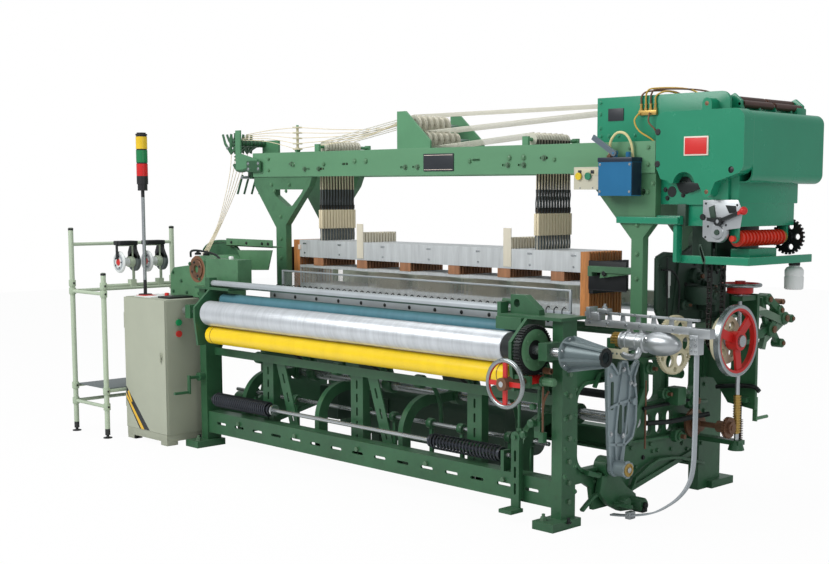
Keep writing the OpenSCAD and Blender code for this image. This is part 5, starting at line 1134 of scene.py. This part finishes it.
def left_end():
    p = Part()
    guard = [(-1908, 1177), (-1870, 1205), (-1794, 1232), (-1661, 1238), (-1590, 1222), (-1533, 1189), (-1513, 1145)]
    p.prism(guard + [(-1513, 1110), (-1600, 1090), (-1908, 1100)], "y", -300, -292, 0, 2)
    p.tube(curve([(x, -298, z) for x, z in guard]), 11, 0, 10)
    p.draw("""
    box -1617 -330 1214 -1140 -322 1262 1 2
    box -1617 -330 1214 -1140 -250 1222 1 2
    prism y -318 -308 1 2 -1512 1190 -1452 1066 -1204 1077 -1160 1200
    bolts y -331 7 6 2 -1 -1560 1238 -1400 1238 -1240 1238 -1180 1238
    lathe y -1544 -606 1080 36 3 24 -3 56 -3 60 0 60 8 24 8""")
    for c, s in ring(4, 0.4):
        p.bolt((-1544 + 44 * c, -609, 1080 + 44 * s), "y", 6, 5, 2, -1)
    p.draw("""
    lathe z -1240 -560 1150 18 4 0 0 15 0 15 14 12 18 0 19
    bolts y -601 9 8 0 -1 -1810 930 -1810 1050 -1660 930 -1620 1110 -1530 930 -1520 1020 -1720 1000
    lathe z -1650 -520 1162 18 2 0 0 20 0 20 12 10 16 10 28 0 30
    lathe z -1560 -520 1162 18 2 0 0 20 0 20 12 10 16 10 28 0 30
    pipe 7 2 8 -1700 -540 1150 -1660 -560 1186 -1560 -560 1190 -1400 -560 1170 -1330 -560 1120""")
    p.make("left_end", "loom", [cast, light_cast, iron, copper, white], "casting_green")


# ---------------------------------------------------------------- cabinet, creel, feeders and pump
def cabinet_trim():
    p = Part()
    p.draw("""
    prism y -848.6 -846 0 0 -1988 330 -1988 250 -1844 76 -1732 76
    prism y -849.2 -846 1 0 -1988 286 -1988 262 -1824 76 -1789 76
    prism y -849.6 -846 1 0 -1974 296 -1934 232 -1920 240 -1960 306""")
    yellow = paint("stripe_yellow", shade(PLASTIC, (232, 184, 52)))
    p.make("cabinet_stripe", "door", [plate_dark, yellow], "black_tube")
    q = Part()
    q.draw("""
    box -1954 -800 899 -1754 -620 906 2 2
    box -1942 -790 905 -1844 -700 908 3 0.6
    box -1724 -770 899 -1594 -560 912 1 3
    turn z -1794 -660 906 18 3 14 0 14 14 10 17
    box -1995 -828 886 -1533 -470 892 0 0.5
    box -1988 -846 26 -1540 -838 72 0 2
    box -1546 -838 26 -1539 -474 72 0 2
    box -1988 -845 2 -1918 -837 30 0 2
    box -1610 -845 2 -1540 -837 30 0 2
    box -1546 -837 2 -1540 -767 30 0 2
    box -1546 -545 2 -1540 -475 30 0 2
    box -1954 -840 0 -1908 -790 12 1 2
    box -1594 -840 0 -1548 -790 12 1 2""")
    q.make("cabinet_trim", "loom", [cabinet, black, white, plate_red], "cabinet_grey")


def creel_trim():
    p = Part()
    for x, top in ((-2440, 1320), (-2055, 1046)):
        for y in (-950, -200):
            p.draw("""
            lathe z 0 0 -22 20 3 16 0 21 1 22 4 22 40 21 43 16 44
            bolts x 21 5 4 1 1 0 0""", *((x, y, z) for z in (200, 300, 915, 965)))
            p.draw("lathe z 0 0 0 20 1 0 3 12 2 17 -2 17 -14 0 -14", (x, y, top))
            p.draw("turn z 0 0 0 20 1 28 0 28 5 12 8 9 12 9 30", (x, y, 0))
    p.draw("box -2430 -940 309 -2066 -210 314 2 1")
    p.draw("""
    prism y 20 34 1 2 -60 58 -30 116 30 116 34 80 60 40 60 20 -60 20
    prism y -92 36 1 4 -40 106 40 106 40 134 -40 134
    box -10 -96 18 10 -88 130 1 2
    turn y 0 20 0 32 2 58 0 60 3 60 22 56 26""", *((FEEDER_X, y, FEEDER_Z) for y in (FEEDER_A_Y, FEEDER_B_Y)))
    p.make("creel_trim", "loom", [cabinet, black, paint("motor_grey", shade(GREYPAINT, (96, 104, 104))),
                                  paint("creel_collar", shade(CABINET, (166, 182, 156)))], "black_tube")
    for name, body, y in (("feeder_hub_a", "feeder_a", FEEDER_A_Y), ("feeder_hub_b", "feeder_b", FEEDER_B_Y)):
        q = Part()
        q.draw("""
        turn y 0 -84 0 24 0 16 -6 22 -2 24 0
        lathe y 0 -78 0 32 1 26 -5 44 -7 60 -4 66 2 60 4 26 4""", (FEEDER_X, y, FEEDER_Z))
        for c, s in ring(5):
            q.bolt((FEEDER_X + 36 * c, y - 85, FEEDER_Z + 36 * s), "y", 4, 3, 2, -1)
        q.make(name, body, [red, silver, black], "plastic_red")


def letoff_drum():
    p = Part()
    p.draw("lathe z 0 0 1056 32 0 14 0 58 0 66 5 66 34 60 40 14 40", (LETOFF_X, LETOFF_Y, 0))
    for c, s in ring(6):
        p.turn((LETOFF_X + 44 * c, LETOFF_Y + 44 * s, 1052), "z", [(9, 0), (9, 5)], 14, 1)
    p.make("letoff_drum", "letoff", [red, iron], "red_paint")


def pump_trim():
    p = Part()
    p.draw("""
    box 1276 -194 1702 1484 -106 1724 1 4
    box 1479 -186 1544 1483 -114 1700 1 1.5
    bolts y -190 5 4 2 -1 1290 1560 1290 1690 1470 1560 1470 1690""")
    p.draw("box 0 -191.5 1704 10 -189 1716 3 0.4", *xs(1400, 1414, 1428, 1442))
    p.draw("lathe z 1325 -150 1724 6 4 0 0 22 0 22 10 12 16 12 30 0 32")
    dark_blue = paint("pump_dark", shade(BLACK, (16, 34, 54)))
    p.make("pump_trim", "loom", [steel, dark_blue, steel, white, copper], "pump_blue")
    q = Part()
    q.draw("box 1120 -172 1640 1265 -169 1672 0 1")
    q.draw("""
    box -9 -177 1648 9 -171 1664 1 1
    bolts y -170 3 2 2 -1 0 1578""", *xs(1150, 1230))
    q.make("button_trim", "loom", [cream, plate_dark, steel], "box_grey")


# The order of these calls is the order of the random turns of the bolt heads.
dobby()
pipes()
cover_trim()
rapier()
swing()
takeup()
selector()
harness("harness_odd_cords", "healds_odd", 0)
harness("harness_even_cords", "healds_even", 1)
heald_wires("heald_wires_odd", "healds_odd", 0)
heald_wires("heald_wires_even", "healds_even", 1)
sley()
right_machinery()
web_ribs()
front_gear()
inner_machinery()
beam_trim()
left_end()
cabinet_trim()
creel_trim()
letoff_drum()
pump_trim()
